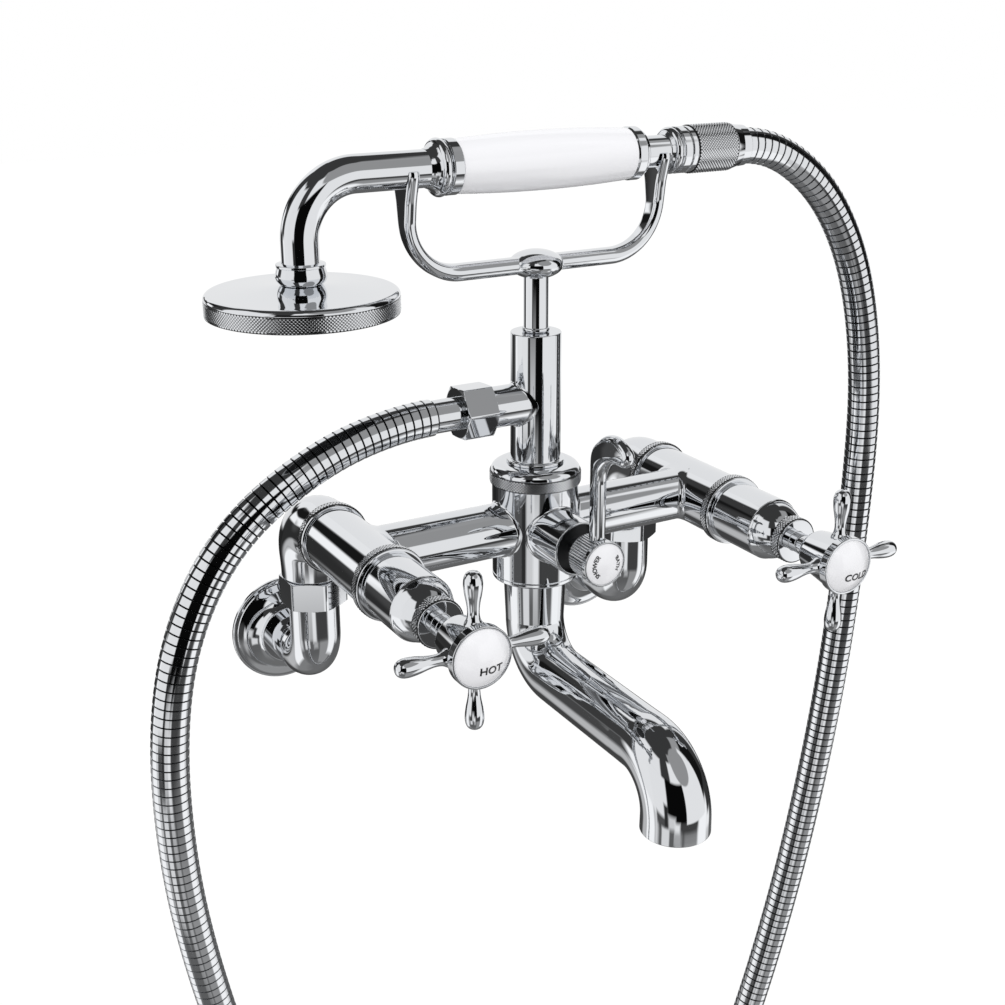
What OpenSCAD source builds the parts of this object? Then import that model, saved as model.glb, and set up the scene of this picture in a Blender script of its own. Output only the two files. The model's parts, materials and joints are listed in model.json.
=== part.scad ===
// Wall-mounted bath and shower mixer with cross-head handles, a diverter lever,
// a telephone-style handset in its cradle and a metal hose.
// The wall is the plane y = 0, the mixer stands out along -y, x runs along the wall and z is up.
// The origin is on the wall, midway between the two inlets. All sizes are millimetres.

/* [Layout] */
// Distance between the two inlets
inlet_spacing = 180; // [160:1:220]
// Wall to the axis of the upright unions
leg_out = 45.5; // [44:0.5:60]
// Inlet axis up to the valve axis
valve_rise = 74; // [70:1:90]
// Rear end of a valve body to the axis of the centre body
port_back = 26; // [24:0.5:30]

/* [Wall unions] */
// Diameter of a wall flange
flange_d = 54.6; // [48:0.2:64]
// Depth of a wall flange off the wall
flange_h = 11; // [9:0.5:16]
// Height of the rolled rim of a flange
flange_rim = 2.2; // [1.5:0.1:3]
// Outer diameter of the wall elbow
leg_d = 23.3; // [22:0.1:25]
// Water bore of the wall elbow
leg_bore = 16; // [12:0.5:17]
// Centre-line bend radius of the wall elbow
wall_bend = 16; // [14:0.5:24]
// Diameter of the inlet thread
inlet_d = 18.6; // [17.5:0.1:19]
// Depth of the inlet thread
inlet_depth = 14; // [10:0.5:18]
// Width across the flats of the union nut
union_af = 28.4; // [27.5:0.1:32]
// Height of the union nut
union_h = 14; // [12:0.2:16]
// Inlet axis up to the underside of the union nut
union_z = 32; // [30:0.5:36]
// Thickness of the union washer
washer_t = 2; // [1.5:0.1:3]

/* [Valves] */
// Outer diameter of the inlet elbow
elbow_d = 29.2; // [28.4:0.1:31]
// Centre-line bend radius of the inlet elbow
elbow_bend = 16; // [15.8:0.1:20]
// Straight length of the inlet elbow after its bend
elbow_run = 9.9; // [4:0.1:16]
// Water bore of the inlet elbow
elbow_bore = 18; // [14:0.5:19]
// Diameter of the spigots that join the valve pieces
spigot_d = 24; // [22:0.2:25]
// Length of a spigot inside the valve body
spigot_len = 8.5; // [6:0.5:10]
// Diameter of the knurled rings
ring_d = 33.6; // [33:0.2:40]
// Width of the rear knurled ring
rear_ring_w = 4.6; // [4:0.1:7]
// Width of the front knurled ring with its bead
front_ring_w = 5.7; // [5:0.1:8]
// Diameter of a valve body
valve_d = 30; // [29:0.1:32]
// Length of a valve body
valve_len = 55.3; // [54:0.1:66]
// Diameter of a bonnet
bonnet_d = 28.8; // [28:0.1:31]
// Length of the straight part of a bonnet
bonnet_len = 28; // [22:0.5:36]
// Depth of the domed front of a bonnet
dome_h = 11; // [9:0.5:13]
// Diameter of the knurled collar
collar_d = 21.4; // [20:0.1:24]
// Width of the knurled collar
collar_w = 5.5; // [4:0.1:8]
// Diameter of a valve cartridge
cartridge_d = 18; // [16:0.1:19]
// Diameter of a valve spindle
spindle_d = 7.2; // [6:0.1:7.6]
// Outer diameter of the cross tubes
cross_d = 24.9; // [23:0.1:26]
// Water port through the cross tubes
port_d = 19; // [14:0.5:20]

/* [Handles] */
// Clear gap between the collar and the handle
handle_gap = 4.5; // [2:0.1:8]
// Length of the thin sleeve behind the hub
sleeve_len = 5; // [3:0.1:8]
// Diameter of the thin sleeve behind the hub
sleeve_d = 9.6; // [9:0.1:12]
// Length of the bell-shaped hub
hub_len = 21; // [18:0.5:26]
// Diameter of the hub at its rear
hub_rear_d = 18.6; // [17:0.1:21]
// Diameter of the hub at its front
hub_d = 24.6; // [23:0.1:26]
// Diameter of the bezel round the index
bezel_d = 25.8; // [25:0.1:28]
// Width of the bezel
bezel_w = 4; // [3.4:0.1:6]
// Diameter of the porcelain index
index_d = 23.8; // [20:0.1:24.4]
// Edge thickness of the porcelain index
index_t = 2.8; // [2:0.1:3.2]
// Rise of the domed face of the porcelain index
index_dome = 5; // [2:0.1:6]
// Handle axis to the tip of a spoke
spoke_tip = 33; // [30:0.5:40]
// Diameter of the round end of a spoke
spoke_d = 7.6; // [6.6:0.1:9]
// Diameter of the neck of a spoke
spoke_neck_d = 4.9; // [4:0.1:6]
// Diameter of a spoke where it leaves the hub
spoke_base_d = 6.6; // [6:0.1:8]
// Diameter of the handle screw
screw_d = 4; // [3:0.1:4.6]

/* [Centre body] */
// Diameter of the centre body
body_d = 40; // [38:0.5:46]
// Valve axis down to the underside of the centre body
body_drop = 25.8; // [22:0.2:32]
// Valve axis up to the top of the centre body
body_up = 21.6; // [18:0.2:28]
// Diameter of the diverter boss
boss_d = 25.5; // [24:0.1:28]
// Depth of the cup in the front of the boss
boss_cup = 5; // [3:0.5:8]
// Body axis to the front of the diverter boss
boss_len = 39.4; // [34:0.2:46]
// Clear gap between the boss and the diverter knob
knob_gap = 4.9; // [2:0.1:8]
// Diameter of the fluted diverter knob
knob_d = 19.6; // [18:0.1:22]
// Length of the fluted diverter knob
knob_len = 12.7; // [11:0.1:16]
// Diameter of the bezel on the diverter knob
knob_bezel_d = 20.8; // [20:0.1:24]
// Width of the bezel on the diverter knob
knob_bezel_w = 3; // [2.4:0.1:4]
// Rise of the domed face of the diverter index
knob_dome = 2; // [1:0.1:3]
// Thickness of the diverter lever, along x
lever_t = 6; // [4:0.1:8]
// Width of the lever's strap, along y
lever_w = 6.4; // [5:0.1:8]
// Height of the lever's straight rear edge above its axis
lever_rise = 44.5; // [38:0.5:52]
// Outer radius of the lever's hooked end
hook_r = 15.5; // [14:0.1:18]
// Radius of the lever's rounded tip
tip_r = 4.6; // [3.6:0.1:5.4]

/* [Riser and cradle] */
// Diameter of the knurled nut on the centre body
top_nut_d = 42.4; // [39:0.2:48]
// Height of the knurled band of that nut
top_nut_band = 5.5; // [4:0.1:8]
// Height of the rounded shoulder above the band
top_nut_shoulder = 3.5; // [2.4:0.1:6]
// Diameter of the riser
riser_d = 23; // [22:0.2:25]
// Valve axis up to the top of the riser
riser_rise = 91.3; // [84:0.5:110]
// Water bore of the riser
riser_bore = 17; // [14:0.5:18]
// Valve axis up to the axis of the hose tee
tee_rise = 59; // [54:1:70]
// Diameter of the hose tee
tee_d = 18.6; // [18:0.1:20]
// Riser axis to the shoulder of the tee
tee_len = 25; // [22:0.5:32]
// Diameter of the post
post_d = 11.3; // [10:0.1:14]
// Length of the post
post_h = 24.2; // [20:0.1:36]
// Diameter of the cradle boss
cradle_boss_d = 23.5; // [18:0.5:26]
// Height of the cradle boss
cradle_boss_h = 12; // [9:0.5:13]
// Depth of the cradle bar, along y
bar_depth = 10.4; // [8:0.1:12]
// Thickness of the cradle bar, along z
bar_t = 7.4; // [6:0.1:9]
// Thickness of the cradle arms, along x
arm_t = 5.5; // [4:0.1:6]
// Clear distance between the arms
arm_span = 119; // [116:1:130]
// Outer corner radius of the cradle
cradle_corner = 27; // [18:0.5:32]
// Bar axis up to the handset axis
fork_rise = 44.5; // [42:0.5:56]
// Wall of a fork prong beside the handset
prong_t = 1.4; // [1:0.1:3]

/* [Handset] */
// Outer diameter of the handset neck
neck_d = 15.7; // [14.6:0.1:17]
// Water bore of the neck
neck_bore = 11; // [8:0.5:12]
// Centre-line bend radius of the neck
neck_bend = 25; // [20:0.5:32]
// Straight length of the neck below its bend
neck_drop = 7.6; // [6:0.2:16]
// Body axis to the axis of the rose, along x
rose_x = 110; // [106:1:130]
// Body axis to the front end of the grip
grip_front = 40.5; // [38:0.5:44]
// Length of the porcelain grip
grip_len = 86; // [78:0.5:92]
// Diameter of the grip at its ends
grip_end_d = 22.6; // [20:0.2:24]
// Diameter of the grip at its middle
grip_mid_d = 25.4; // [23:0.2:28]
// Diameter of the ferrules
ferrule_d = 23.4; // [22:0.2:26]
// Length of the front ferrule
front_ferrule_len = 13.5; // [12:0.5:18]
// Length of the rear ferrule
rear_ferrule_len = 7.3; // [6:0.1:10]
// Diameter of the stem inside the grip
stem_d = 12; // [10:0.2:13]
// Water bore of the stem
stem_bore = 9; // [6:0.5:9.5]
// Diameter of the rear spigot in the cradle
tail_d = 14.2; // [13.6:0.1:15.4]
// Length of the beaded collar behind the cradle
flare_len = 10; // [8:0.5:14]
// Diameter of the beaded collar
flare_d = 20.8; // [19:0.1:23]
// Diameter of the knurled hose nut
hose_nut_d = 21.9; // [21:0.1:26]
// Length of the hose nut
hose_nut_len = 34; // [33:0.5:40]
// Diameter of the rose
rose_d = 79.8; // [70:0.2:100]
// Height of the knurled edge of the rose
rose_edge = 9.4; // [7:0.1:12]
// Rise of the trumpet-shaped top of the rose
rose_dome = 2.4; // [1:0.1:4]
// Wall of the rose
rose_wall = 2.5; // [1.8:0.1:3.4]
// Height of the collar on the rose
rose_collar_h = 9.6; // [8:0.1:14]
// Diameter of the collar on the rose
rose_collar_d = 21.2; // [19:0.2:25]
// Diameter of a spray hole
spray_d = 1.6; // [1:0.1:2.4]
// Number of rings of spray holes
spray_rings = 3; // [2:1:4]

/* [Hose] */
// Outer diameter of the hose
hose_d = 16.5; // [14:0.1:16.6]
// Bore of the hose
hose_bore = 10; // [8:0.5:11]
// Depth of the groove between two ribs
rib_depth = 0.6; // [0.3:0.1:1]
// Number of ribs along the hose
rib_count = 190; // [120:1:200]
// Diameter of the plain sleeve at the tee end of the hose
sleeve_end_d = 14.8; // [14:0.1:16]
// Diameter of the threaded spigots that the hose nuts screw on
thread_d = 16.8; // [16:0.1:17.4]
// Length of those spigots
thread_len = 8; // [6:0.5:10]
// Width across the flats of the tee nut
tee_nut_af = 22.4; // [20.6:0.1:24]
// Length of the tee nut
tee_nut_len = 15; // [14.5:0.5:18]

/* [Spout] */
// Diameter of the spout where it enters the body
spout_top_d = 29.6; // [26:0.2:30]
// Diameter of the spout along its run
spout_d = 27.8; // [25:0.2:28]
// Diameter of the spout at its mouth
spout_mouth_d = 30.4; // [28:0.2:34]
// Water bore of the spout
spout_bore = 21; // [17:0.5:22]
// Underside of the centre body down to the spout's first bend
spout_drop = 21.2; // [16:0.2:30]
// Centre-line radius of the first bend
spout_bend = 23; // [20:0.5:30]
// Length of the level run
spout_run = 71; // [50:1:110]
// Centre-line radius of the second bend
mouth_bend = 24; // [20:0.5:30]
// Straight length below the second bend
mouth_drop = 6.2; // [6.2:0.2:20]
// Depth of the flow straightener inside the mouth
straightener_in = 3; // [2:0.2:3]
// Thickness of the flow straightener
straightener_t = 3; // [2.4:0.2:3.2]

/* [Hidden] */
$fn = 48;
// Radial clearance of pieces that are assembled and stay put
fit = 0.05;
// Radial clearance of turning shafts
run_fit = 0.05;
// Clear distance between pieces that move apart
clear = 0.3;
// Overshoot of a cut past the face that it opens
over = 1;
// Small chamfer on edges
chamfer = 0.6;
// Depth of a counterbore or web that only has to hold
web = 1;

SIDES = [["hot", -1], ["cold", 1]];
SIDE_PARTS = ["wall_flange", "wall_elbow", "union_nut", "union_washer", "inlet_elbow", "rear_ring",
              "valve_body", "front_ring", "bonnet", "collar", "cartridge", "spindle", "handle", "index",
              "handle_screw", "cross_tube"];
CENTRE_PARTS = ["centre_body", "diverter_cartridge", "diverter_spindle", "diverter_lever",
                "diverter_index", "top_nut", "riser", "riser_seal", "post", "cradle", "spout",
                "flow_straightener"];
HOSE_PARTS = ["tee_nut", "tee_washer", "hose_ferrule", "hose"];
HANDSET_PARTS = ["hose_nut", "hose_nut_washer", "handset_spigot", "rear_ferrule", "handset_grip",
                 "front_ferrule", "handset_neck", "rose_collar", "rose_shell", "spray_plate"];

CHROME = "#c3c7cb";
BRASS = "#b39a62";
PORCELAIN = "#f2f3f2";
RUBBER = "#2b2c2e";
STEEL = "#a9adb1";

// Heights of the union joint above the inlet axis
nut_lip = 4;
leg_flange_h = 3;
leg_flange_d = leg_d + 1.9;
leg_top = union_z + nut_lip + leg_flange_h;
tail_low = leg_top + washer_t;
elbow_low = union_z + union_h + web / 2;

// Stations along a valve axis, measured out from the wall
elbow_end = leg_out + elbow_bend + elbow_run;
valve_back = elbow_end + rear_ring_w;
valve_front = valve_back + valve_len;
bonnet_back = valve_front + front_ring_w;
bonnet_front = bonnet_back + bonnet_len;
dome_front = bonnet_front + dome_h;
collar_front = dome_front + collar_w;
hub_back = collar_front + handle_gap;
shoulder_back = hub_back + sleeve_len;
bezel_back = shoulder_back + hub_len;
bezel_front = bezel_back + bezel_w;
index_back = bezel_front - index_t;
body_out = valve_back + port_back;

// Valve insides
chamber_d = spigot_d - 2;
bonnet_bore = cartridge_d + 2 * fit;
cartridge_tail = 18;
cartridge_back = valve_front - cartridge_tail;
cartridge_front = bonnet_front + 3;
cartridge_neck_d = spindle_d + 2.8;
nose_d = cartridge_neck_d + 6;
nose_front = collar_front - web;
neck_front = nose_front - web;
disc_d = cartridge_d - 3;
disc_t = 3;
cup_depth = 6;
spindle_hold = 11;
spindle_front = hub_back + spindle_hold;
screw_seat = index_back - 8;
screw_head_d = screw_d + 3.6;
screw_head_t = 3;
screw_hold = 6;
spoke_out = bezel_back - 3.1;

// Heights of the centre stack above the inlet axis
body_low = valve_rise - body_drop;
body_top = valve_rise + body_up;
nut_top = body_top + top_nut_band + top_nut_shoulder;
riser_top = valve_rise + riser_rise;
tee_z = valve_rise + tee_rise;
bar_z = riser_top + post_h + cradle_boss_h / 2;
handset_z = bar_z + fork_rise;
socket_depth = 9;
riser_low = body_top - 8;
riser_ring_d = riser_d + 3.8;
riser_ring_h = 1.6;
nut_turn = 26;
seal_d = riser_d + 5;
seal_t = 2;
post_stud_d = 8;
post_stud_len = 10;
boss_stud_d = 7;
boss_stud_len = 7;
tee_bore = 12;

// Diverter stations, measured out from the wall
boss_front = body_out + boss_len;
cup_back = boss_front - boss_cup;
cup_d = boss_d - 2.4;
diverter_in = 13;
diverter_back = body_out + diverter_in;
knob_back = boss_front + knob_gap;
knob_front = knob_back + knob_len;
knob_bezel_front = knob_front + knob_bezel_w;
knob_index_t = 1.8;
knob_index_d = knob_bezel_d - 2;
lever_back = knob_front - lever_w;
knob_hold = 8;
lever_foot = knob_d / 2 - 2;
tip_turn = 50;

// Hose stations along -x, measured from the riser axis
tee_thread = tee_len + thread_len;
tee_washer_end = tee_thread + washer_t;
ferrule_flange_t = 2.7;
ferrule_flange_end = tee_washer_end + ferrule_flange_t;
tee_nut_back = tee_len + web / 4;
tee_nut_end = tee_nut_back + tee_nut_len;
hose_start = ferrule_flange_end + 3.3;

// Handset stations along x, measured from the body axis
arm_in = arm_span / 2;
arm_out = arm_in + arm_t;
notch_d = neck_d + 2 * (clear + fit);
grip_back = grip_len - grip_front;
rear_ferrule_end = grip_back + rear_ferrule_len;
front_ferrule_end = -grip_front - front_ferrule_len;
neck_end = -grip_front - 5.5;
flare_back = arm_out + web / 2;
flare_end = flare_back + flare_len;
thread_end = flare_end + thread_len;
hose_nut_front = flare_end + web / 4;
hose_nut_end = hose_nut_front + hose_nut_len;
hose_socket = 16;
hose_end = hose_nut_end - hose_socket;
hose_nut_band = 3;
hose_nut_taper = 9;

// Heights of the rose
neck_low = handset_z - neck_bend - neck_drop;
collar_low = neck_low - rose_collar_h;
rose_top = collar_low;
rose_low = rose_top - rose_dome - rose_edge;
collar_seat = 2;
plate_in = 0.4;
plate_t = 2.5;

// Spout stations
spout_turn = body_low - spout_drop;
spout_level = spout_turn - spout_bend;
mouth_out = body_out + spout_bend + spout_run + mouth_bend;
mouth_top = spout_level - mouth_bend;
mouth_low = mouth_top - mouth_drop;
straightener_d = spout_bore + 3;
straightener_seat = straightener_in + straightener_t;

// Straight lengths of the hose at the tee and at the handset
tee_lead = 17;
nut_lead = 18;
// Route of the hose in the plane of the body axis, as [x, z]: out of the tee, down in a
// hanging loop below the mixer, and up to the rear of the handset
hose_route = [[-hose_start, tee_z], [-hose_start - tee_lead, tee_z], [-76, 131], [-100, 125],
              [-127, 111], [-147, 95], [-162, 75], [-173, 50], [-179, 24], [-182, -6], [-182, -38],
              [-180, -72], [-174, -114], [-164, -164], [-151, -216], [-137, -266], [-119, -312], [-96, -354],
              [-64, -390], [-24, -412], [20, -414], [62, -398], [97, -366], [124, -326], [146, -274],
              [166, -204], [178, -150], [188, -92], [195, -36], [199, 24], [201, 88], [198, 126],
              [191, 160], [180, 189], [163, 214], [145, 229], [127, 238],
              [hose_end + nut_lead, handset_z], [hose_end + nut_lead / 2, handset_z],
              [hose_end, handset_z]];
hose_spans = len(hose_route) - 1;
hose_sides = 8;
span_steps = 8;
plain_end = 12;

// Points of a round stretch of an outline, from one angle to another
function arc(centre, r, from, to, steps) =
    [for (i = [0 : steps]) let (a = from + (to - from) * i / steps) centre + r * [cos(a), sin(a)]];

// Points of a round cap on a disc, from beside its edge to its middle
function cap(r, low, rise) =
    let (ball = (r * r + rise * rise) / (2 * rise), edge = asin(r / ball), steps = 6)
    [for (i = [1 : steps])
        let (a = edge * (1 - i / steps)) [ball * sin(a), low + rise - ball * (1 - cos(a))]];

// Control point of the route, carried on in a straight line past both ends
function route_point(i) =
    i < 0 ? 2 * hose_route[0] - hose_route[1] :
    i > hose_spans ? 2 * hose_route[hose_spans] - hose_route[hose_spans - 1] :
    hose_route[i];

// Point of the smooth cubic curve that follows the route
function hose_point(u) =
    let (i = min(floor(u), hose_spans - 1),
         t = u - i,
         a = route_point(i - 1),
         b = route_point(i),
         c = route_point(i + 1),
         d = route_point(i + 2))
    (pow(1 - t, 3) * a + (3 * pow(t, 3) - 6 * t * t + 4) * b
     + (1 + 3 * t + 3 * t * t - 3 * pow(t, 3)) * c + pow(t, 3) * d) / 6;

// Direction of the curve in its plane
function hose_heading(u) =
    let (d = hose_point(min(u + 0.02, hose_spans)) - hose_point(max(u - 0.02, 0))) d / norm(d);

// Length along the curve against the curve's own parameter
hose_lengths = [for (i = 0, s = 0; i <= hose_spans * span_steps;
                     i = i + 1,
                     s = s + norm(hose_point(i / span_steps) - hose_point((i - 1) / span_steps)))
                [s, i / span_steps]];
hose_length = hose_lengths[len(hose_lengths) - 1][0];

// Ring of points square to the curve
function hose_ring(s, r) =
    let (u = lookup(s, hose_lengths), p = hose_point(u), h = hose_heading(u))
    [for (k = [0 : hose_sides - 1])
        let (a = 360 * k / hose_sides)
        [p[0] - h[1] * r * cos(a), -body_out + r * sin(a), p[1] + h[0] * r * cos(a)]];

// Triangles between two rings that start at the points i and j
function band(i, j) =
    [for (k = [0 : hose_sides - 1], half = [0, 1])
        let (n = (k + 1) % hose_sides)
        half == 0 ? [i + k, i + n, j + n] : [i + k, j + n, j + k]];

// Turned solid from an outline of [radius, height] points
module turned(outline) {
    rotate_extrude() polygon(outline);
}

// Plain ring between two heights
module ring(d_in, d_out, low, high) {
    turned([[d_in / 2, low], [d_out / 2, low], [d_out / 2, high], [d_in / 2, high]]);
}

// Disc or shaft between two heights
module shaft(d, low, high) {
    translate([0, 0, low]) cylinder(d = d, h = high - low);
}

// Turns z to point out of the wall, on an axis at x and at a height
module out_of_wall(x, height) {
    translate([x, 0, height]) rotate([90, 0, 0]) children();
}

// Turns z to point along +x, on the plane of the body axis
module along_wall(height) {
    translate([0, -body_out, height]) rotate([0, 90, 0]) children();
}

// Turns x to point out of the wall and y up
module side_plane(x) {
    translate([x, 0, 0]) rotate([90, 0, -90]) children();
}

// Turns y up and leaves x along the wall, on the plane of the body axis
module front_plane() {
    translate([0, -body_out, 0]) rotate([90, 0, 0]) children();
}

// Straight pipe in a plane, along its x
module run_x(x, y, length, d, d_end) {
    translate([x, y, 0]) rotate([0, 90, 0]) cylinder(h = length, d1 = d, d2 = d_end);
}

// Straight pipe in a plane, along its y
module run_y(x, y, length, d, d_end) {
    translate([x, y, 0]) rotate([-90, 0, 0]) cylinder(h = length, d1 = d, d2 = d_end);
}

// Quarter bend in a plane, about a centre and from a start angle
module quarter(centre, bend, start, d) {
    translate([centre[0], centre[1], 0])
        rotate([0, 0, start])
            rotate_extrude(angle = 90) translate([bend, 0]) circle(d = d);
}

// Hexagon bar with both ends chamfered, flats at a distance
module hexagon(af, low, high) {
    corner = af / sqrt(3);
    out = corner + over;
    fall = (out - af / 2) / 4;
    intersection() {
        translate([0, 0, low]) cylinder(r = corner, h = high - low, $fn = 6);
        turned([[0, low], [af / 2, low], [out, low + fall], [out, high - fall], [af / 2, high], [0, high]]);
    }
}

// Bell-shaped cover of an inlet, flat against the wall
module wall_flange(side) {
    r = flange_d / 2;
    neck = leg_d / 2 + 3.4;
    bell = flange_h - flange_rim - 2.4;
    color(CHROME)
        out_of_wall(side * inlet_spacing / 2, 0)
            turned(concat([[leg_d / 2 + fit, 0], [r, 0]],
                          arc([r - flange_rim / 2, flange_rim / 2], flange_rim / 2, 0, 90, 4),
                          [[r - flange_rim, flange_rim + 0.4],
                           [neck + (r - neck) * 0.5, flange_rim + bell * 0.35],
                           [neck + (r - neck) * 0.2, flange_rim + bell * 0.75],
                           [neck, flange_rim + bell], [neck, flange_h], [leg_d / 2 + fit, flange_h]]));
}

// Pipe of the wall elbow, out of the wall and up
module leg_pipe(d, start, top) {
    run_x(start, 0, leg_out - wall_bend - start, d, d);
    quarter([leg_out - wall_bend, wall_bend], wall_bend, -90, d);
    run_y(leg_out, wall_bend, top - wall_bend, d, d);
}

// Elbow from the wall up to the union, threaded for the supply pipe
module wall_elbow(side) {
    color(CHROME)
        side_plane(side * inlet_spacing / 2)
            difference() {
                union() {
                    leg_pipe(leg_d, 0, leg_top);
                    run_y(leg_out, leg_top - leg_flange_h, leg_flange_h, leg_flange_d, leg_flange_d);
                }
                leg_pipe(leg_bore, -over, leg_top + over);
                run_x(-over, 0, inlet_depth + over, inlet_d, inlet_d);
            }
}

// Hexagon nut that draws the union together
module union_nut(side) {
    color(CHROME)
        translate([side * inlet_spacing / 2, -leg_out, 0])
            difference() {
                rotate([0, 0, 90]) hexagon(union_af, union_z, union_z + union_h);
                shaft(leg_d + 2 * fit, union_z - over, union_z + union_h);
                shaft(leg_flange_d + 2 * fit, union_z + nut_lip, union_z + union_h + over);
            }
}

// Fibre washer in the union
module union_washer(side) {
    color(RUBBER)
        translate([side * inlet_spacing / 2, -leg_out, 0])
            ring(leg_bore + 1, leg_flange_d - 0.4, leg_top, tail_low);
}

// Pipe of the inlet elbow, up and out of the wall
module inlet_pipe(d, low, high) {
    run_y(leg_out, low, valve_rise - elbow_bend - low, d, d);
    quarter([leg_out + elbow_bend, valve_rise - elbow_bend], elbow_bend, 90, d);
    run_x(leg_out + elbow_bend, valve_rise, high - leg_out - elbow_bend, d, d);
}

// Elbow from the union up to the valve, with its threaded tail and its spigot
module inlet_elbow(side) {
    spigot_end = valve_back + spigot_len;
    color(CHROME)
        side_plane(side * inlet_spacing / 2)
            difference() {
                union() {
                    inlet_pipe(elbow_d, elbow_low, elbow_end);
                    run_y(leg_out, tail_low, elbow_low - tail_low, leg_flange_d, leg_flange_d);
                    run_x(elbow_end, valve_rise, spigot_end - elbow_end, spigot_d, spigot_d);
                }
                inlet_pipe(elbow_bore, tail_low - over, spigot_end + over);
            }
}

// Knurled ring between the inlet elbow and the valve body
module rear_ring(side) {
    r = ring_d / 2;
    color(CHROME)
        out_of_wall(side * inlet_spacing / 2, valve_rise)
            turned([[spigot_d / 2 + fit, elbow_end], [r - chamfer, elbow_end],
                    [r, elbow_end + chamfer], [r, valve_back - chamfer],
                    [r - chamfer, valve_back], [spigot_d / 2 + fit, valve_back]]);
}

// Valve body with a socket at each end and a port towards the centre
module valve_body(side) {
    front_socket = valve_front - spigot_len - web / 2;
    color(CHROME)
        out_of_wall(side * inlet_spacing / 2, valve_rise)
            difference() {
                shaft(valve_d, valve_back, valve_front);
                shaft(chamber_d, valve_back - over, valve_front + over);
                shaft(spigot_d + 2 * fit, valve_back - over, valve_back + spigot_len + web / 2);
                shaft(spigot_d + 2 * fit, front_socket, valve_front + over);
                translate([0, 0, body_out])
                    rotate([0, -side * 90, 0])
                        cylinder(d = port_d, h = valve_d / 2 + over);
            }
}

// Knurled ring with a plain bead in front, between valve body and bonnet
module front_ring(side) {
    r = ring_d / 2;
    bead = 1.2;
    band = bonnet_back - bead;
    color(CHROME)
        out_of_wall(side * inlet_spacing / 2, valve_rise)
            turned([[spigot_d / 2 + fit, valve_front], [r - chamfer, valve_front],
                    [r, valve_front + chamfer], [r, band], [r - chamfer, band + chamfer / 2],
                    [r - chamfer, bonnet_back - chamfer], [r - 2 * chamfer, bonnet_back],
                    [spigot_d / 2 + fit, bonnet_back]]);
}

// Bonnet with a crease before its domed front, which holds the cartridge
module bonnet(side) {
    r = bonnet_d / 2;
    crease = 0.4;
    nose = nose_d / 2;
    from = 20;
    to = 60;
    color(CHROME)
        out_of_wall(side * inlet_spacing / 2, valve_rise)
            difference() {
                turned(concat([[0, valve_front - spigot_len], [spigot_d / 2, valve_front - spigot_len],
                               [spigot_d / 2, bonnet_back], [r, bonnet_back], [r, bonnet_front - crease]],
                              [for (a = [from : 8 : to])
                                  [nose + (r - crease - nose) * (cos(a) - cos(to)) / (cos(from) - cos(to)),
                                   bonnet_front + dome_h * (sin(a) - sin(from)) / (sin(to) - sin(from))]],
                              [[nose, nose_front], [0, nose_front]]));
                shaft(bonnet_bore, valve_front - spigot_len - over, cartridge_front);
                shaft(cartridge_neck_d + 2 * fit, bonnet_back, nose_front + over);
            }
}

// Knurled cap on the nose of the bonnet, with a thin sleeve up to the handle
module collar(side) {
    r = collar_d / 2;
    sleeve = sleeve_d / 2 - 0.2;
    color(CHROME)
        out_of_wall(side * inlet_spacing / 2, valve_rise)
            turned([[nose_d / 2 + fit, dome_front], [r - chamfer, dome_front], [r, dome_front + chamfer],
                    [r, collar_front - chamfer], [r - chamfer, collar_front],
                    [sleeve, collar_front], [sleeve, hub_back - clear],
                    [spindle_d / 2 + clear, hub_back - clear], [spindle_d / 2 + clear, nose_front],
                    [nose_d / 2 + fit, nose_front]]);
}

// Brass valve cartridge, bored for the spindle and cupped for its disc
module cartridge(side) {
    color(BRASS)
        out_of_wall(side * inlet_spacing / 2, valve_rise)
            difference() {
                union() {
                    shaft(cartridge_d, cartridge_back, cartridge_front);
                    shaft(cartridge_neck_d, cartridge_front, neck_front);
                }
                shaft(spindle_d + 2 * run_fit, cartridge_back - over, neck_front + over);
                shaft(disc_d + 2 * run_fit, cartridge_back - over, cartridge_back + cup_depth);
            }
}

// Spindle with the turning disc at its inner end
module spindle(side) {
    disc_front = cartridge_back + cup_depth - run_fit;
    color(STEEL)
        out_of_wall(side * inlet_spacing / 2, valve_rise)
            difference() {
                union() {
                    shaft(disc_d, disc_front - disc_t, disc_front);
                    shaft(spindle_d, disc_front - disc_t, spindle_front);
                }
                shaft(screw_d + 2 * fit, spindle_front - screw_hold - web, spindle_front + over);
            }
}

// One spoke with a round end, along z from the handle axis
module spoke() {
    r = spoke_d / 2;
    centre = spoke_tip - r;
    root = hub_d / 2;
    neck = root + (centre - root) * 0.25;
    turned(concat([[0, root - 3.4], [spoke_base_d / 2, root - 3.4], [spoke_base_d / 2, root + 0.4],
                   [spoke_neck_d / 2, neck], [spoke_neck_d / 2 + 0.15, neck + 2.6]],
                  arc([0, centre], r, -15, 90, 7)));
}

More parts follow.
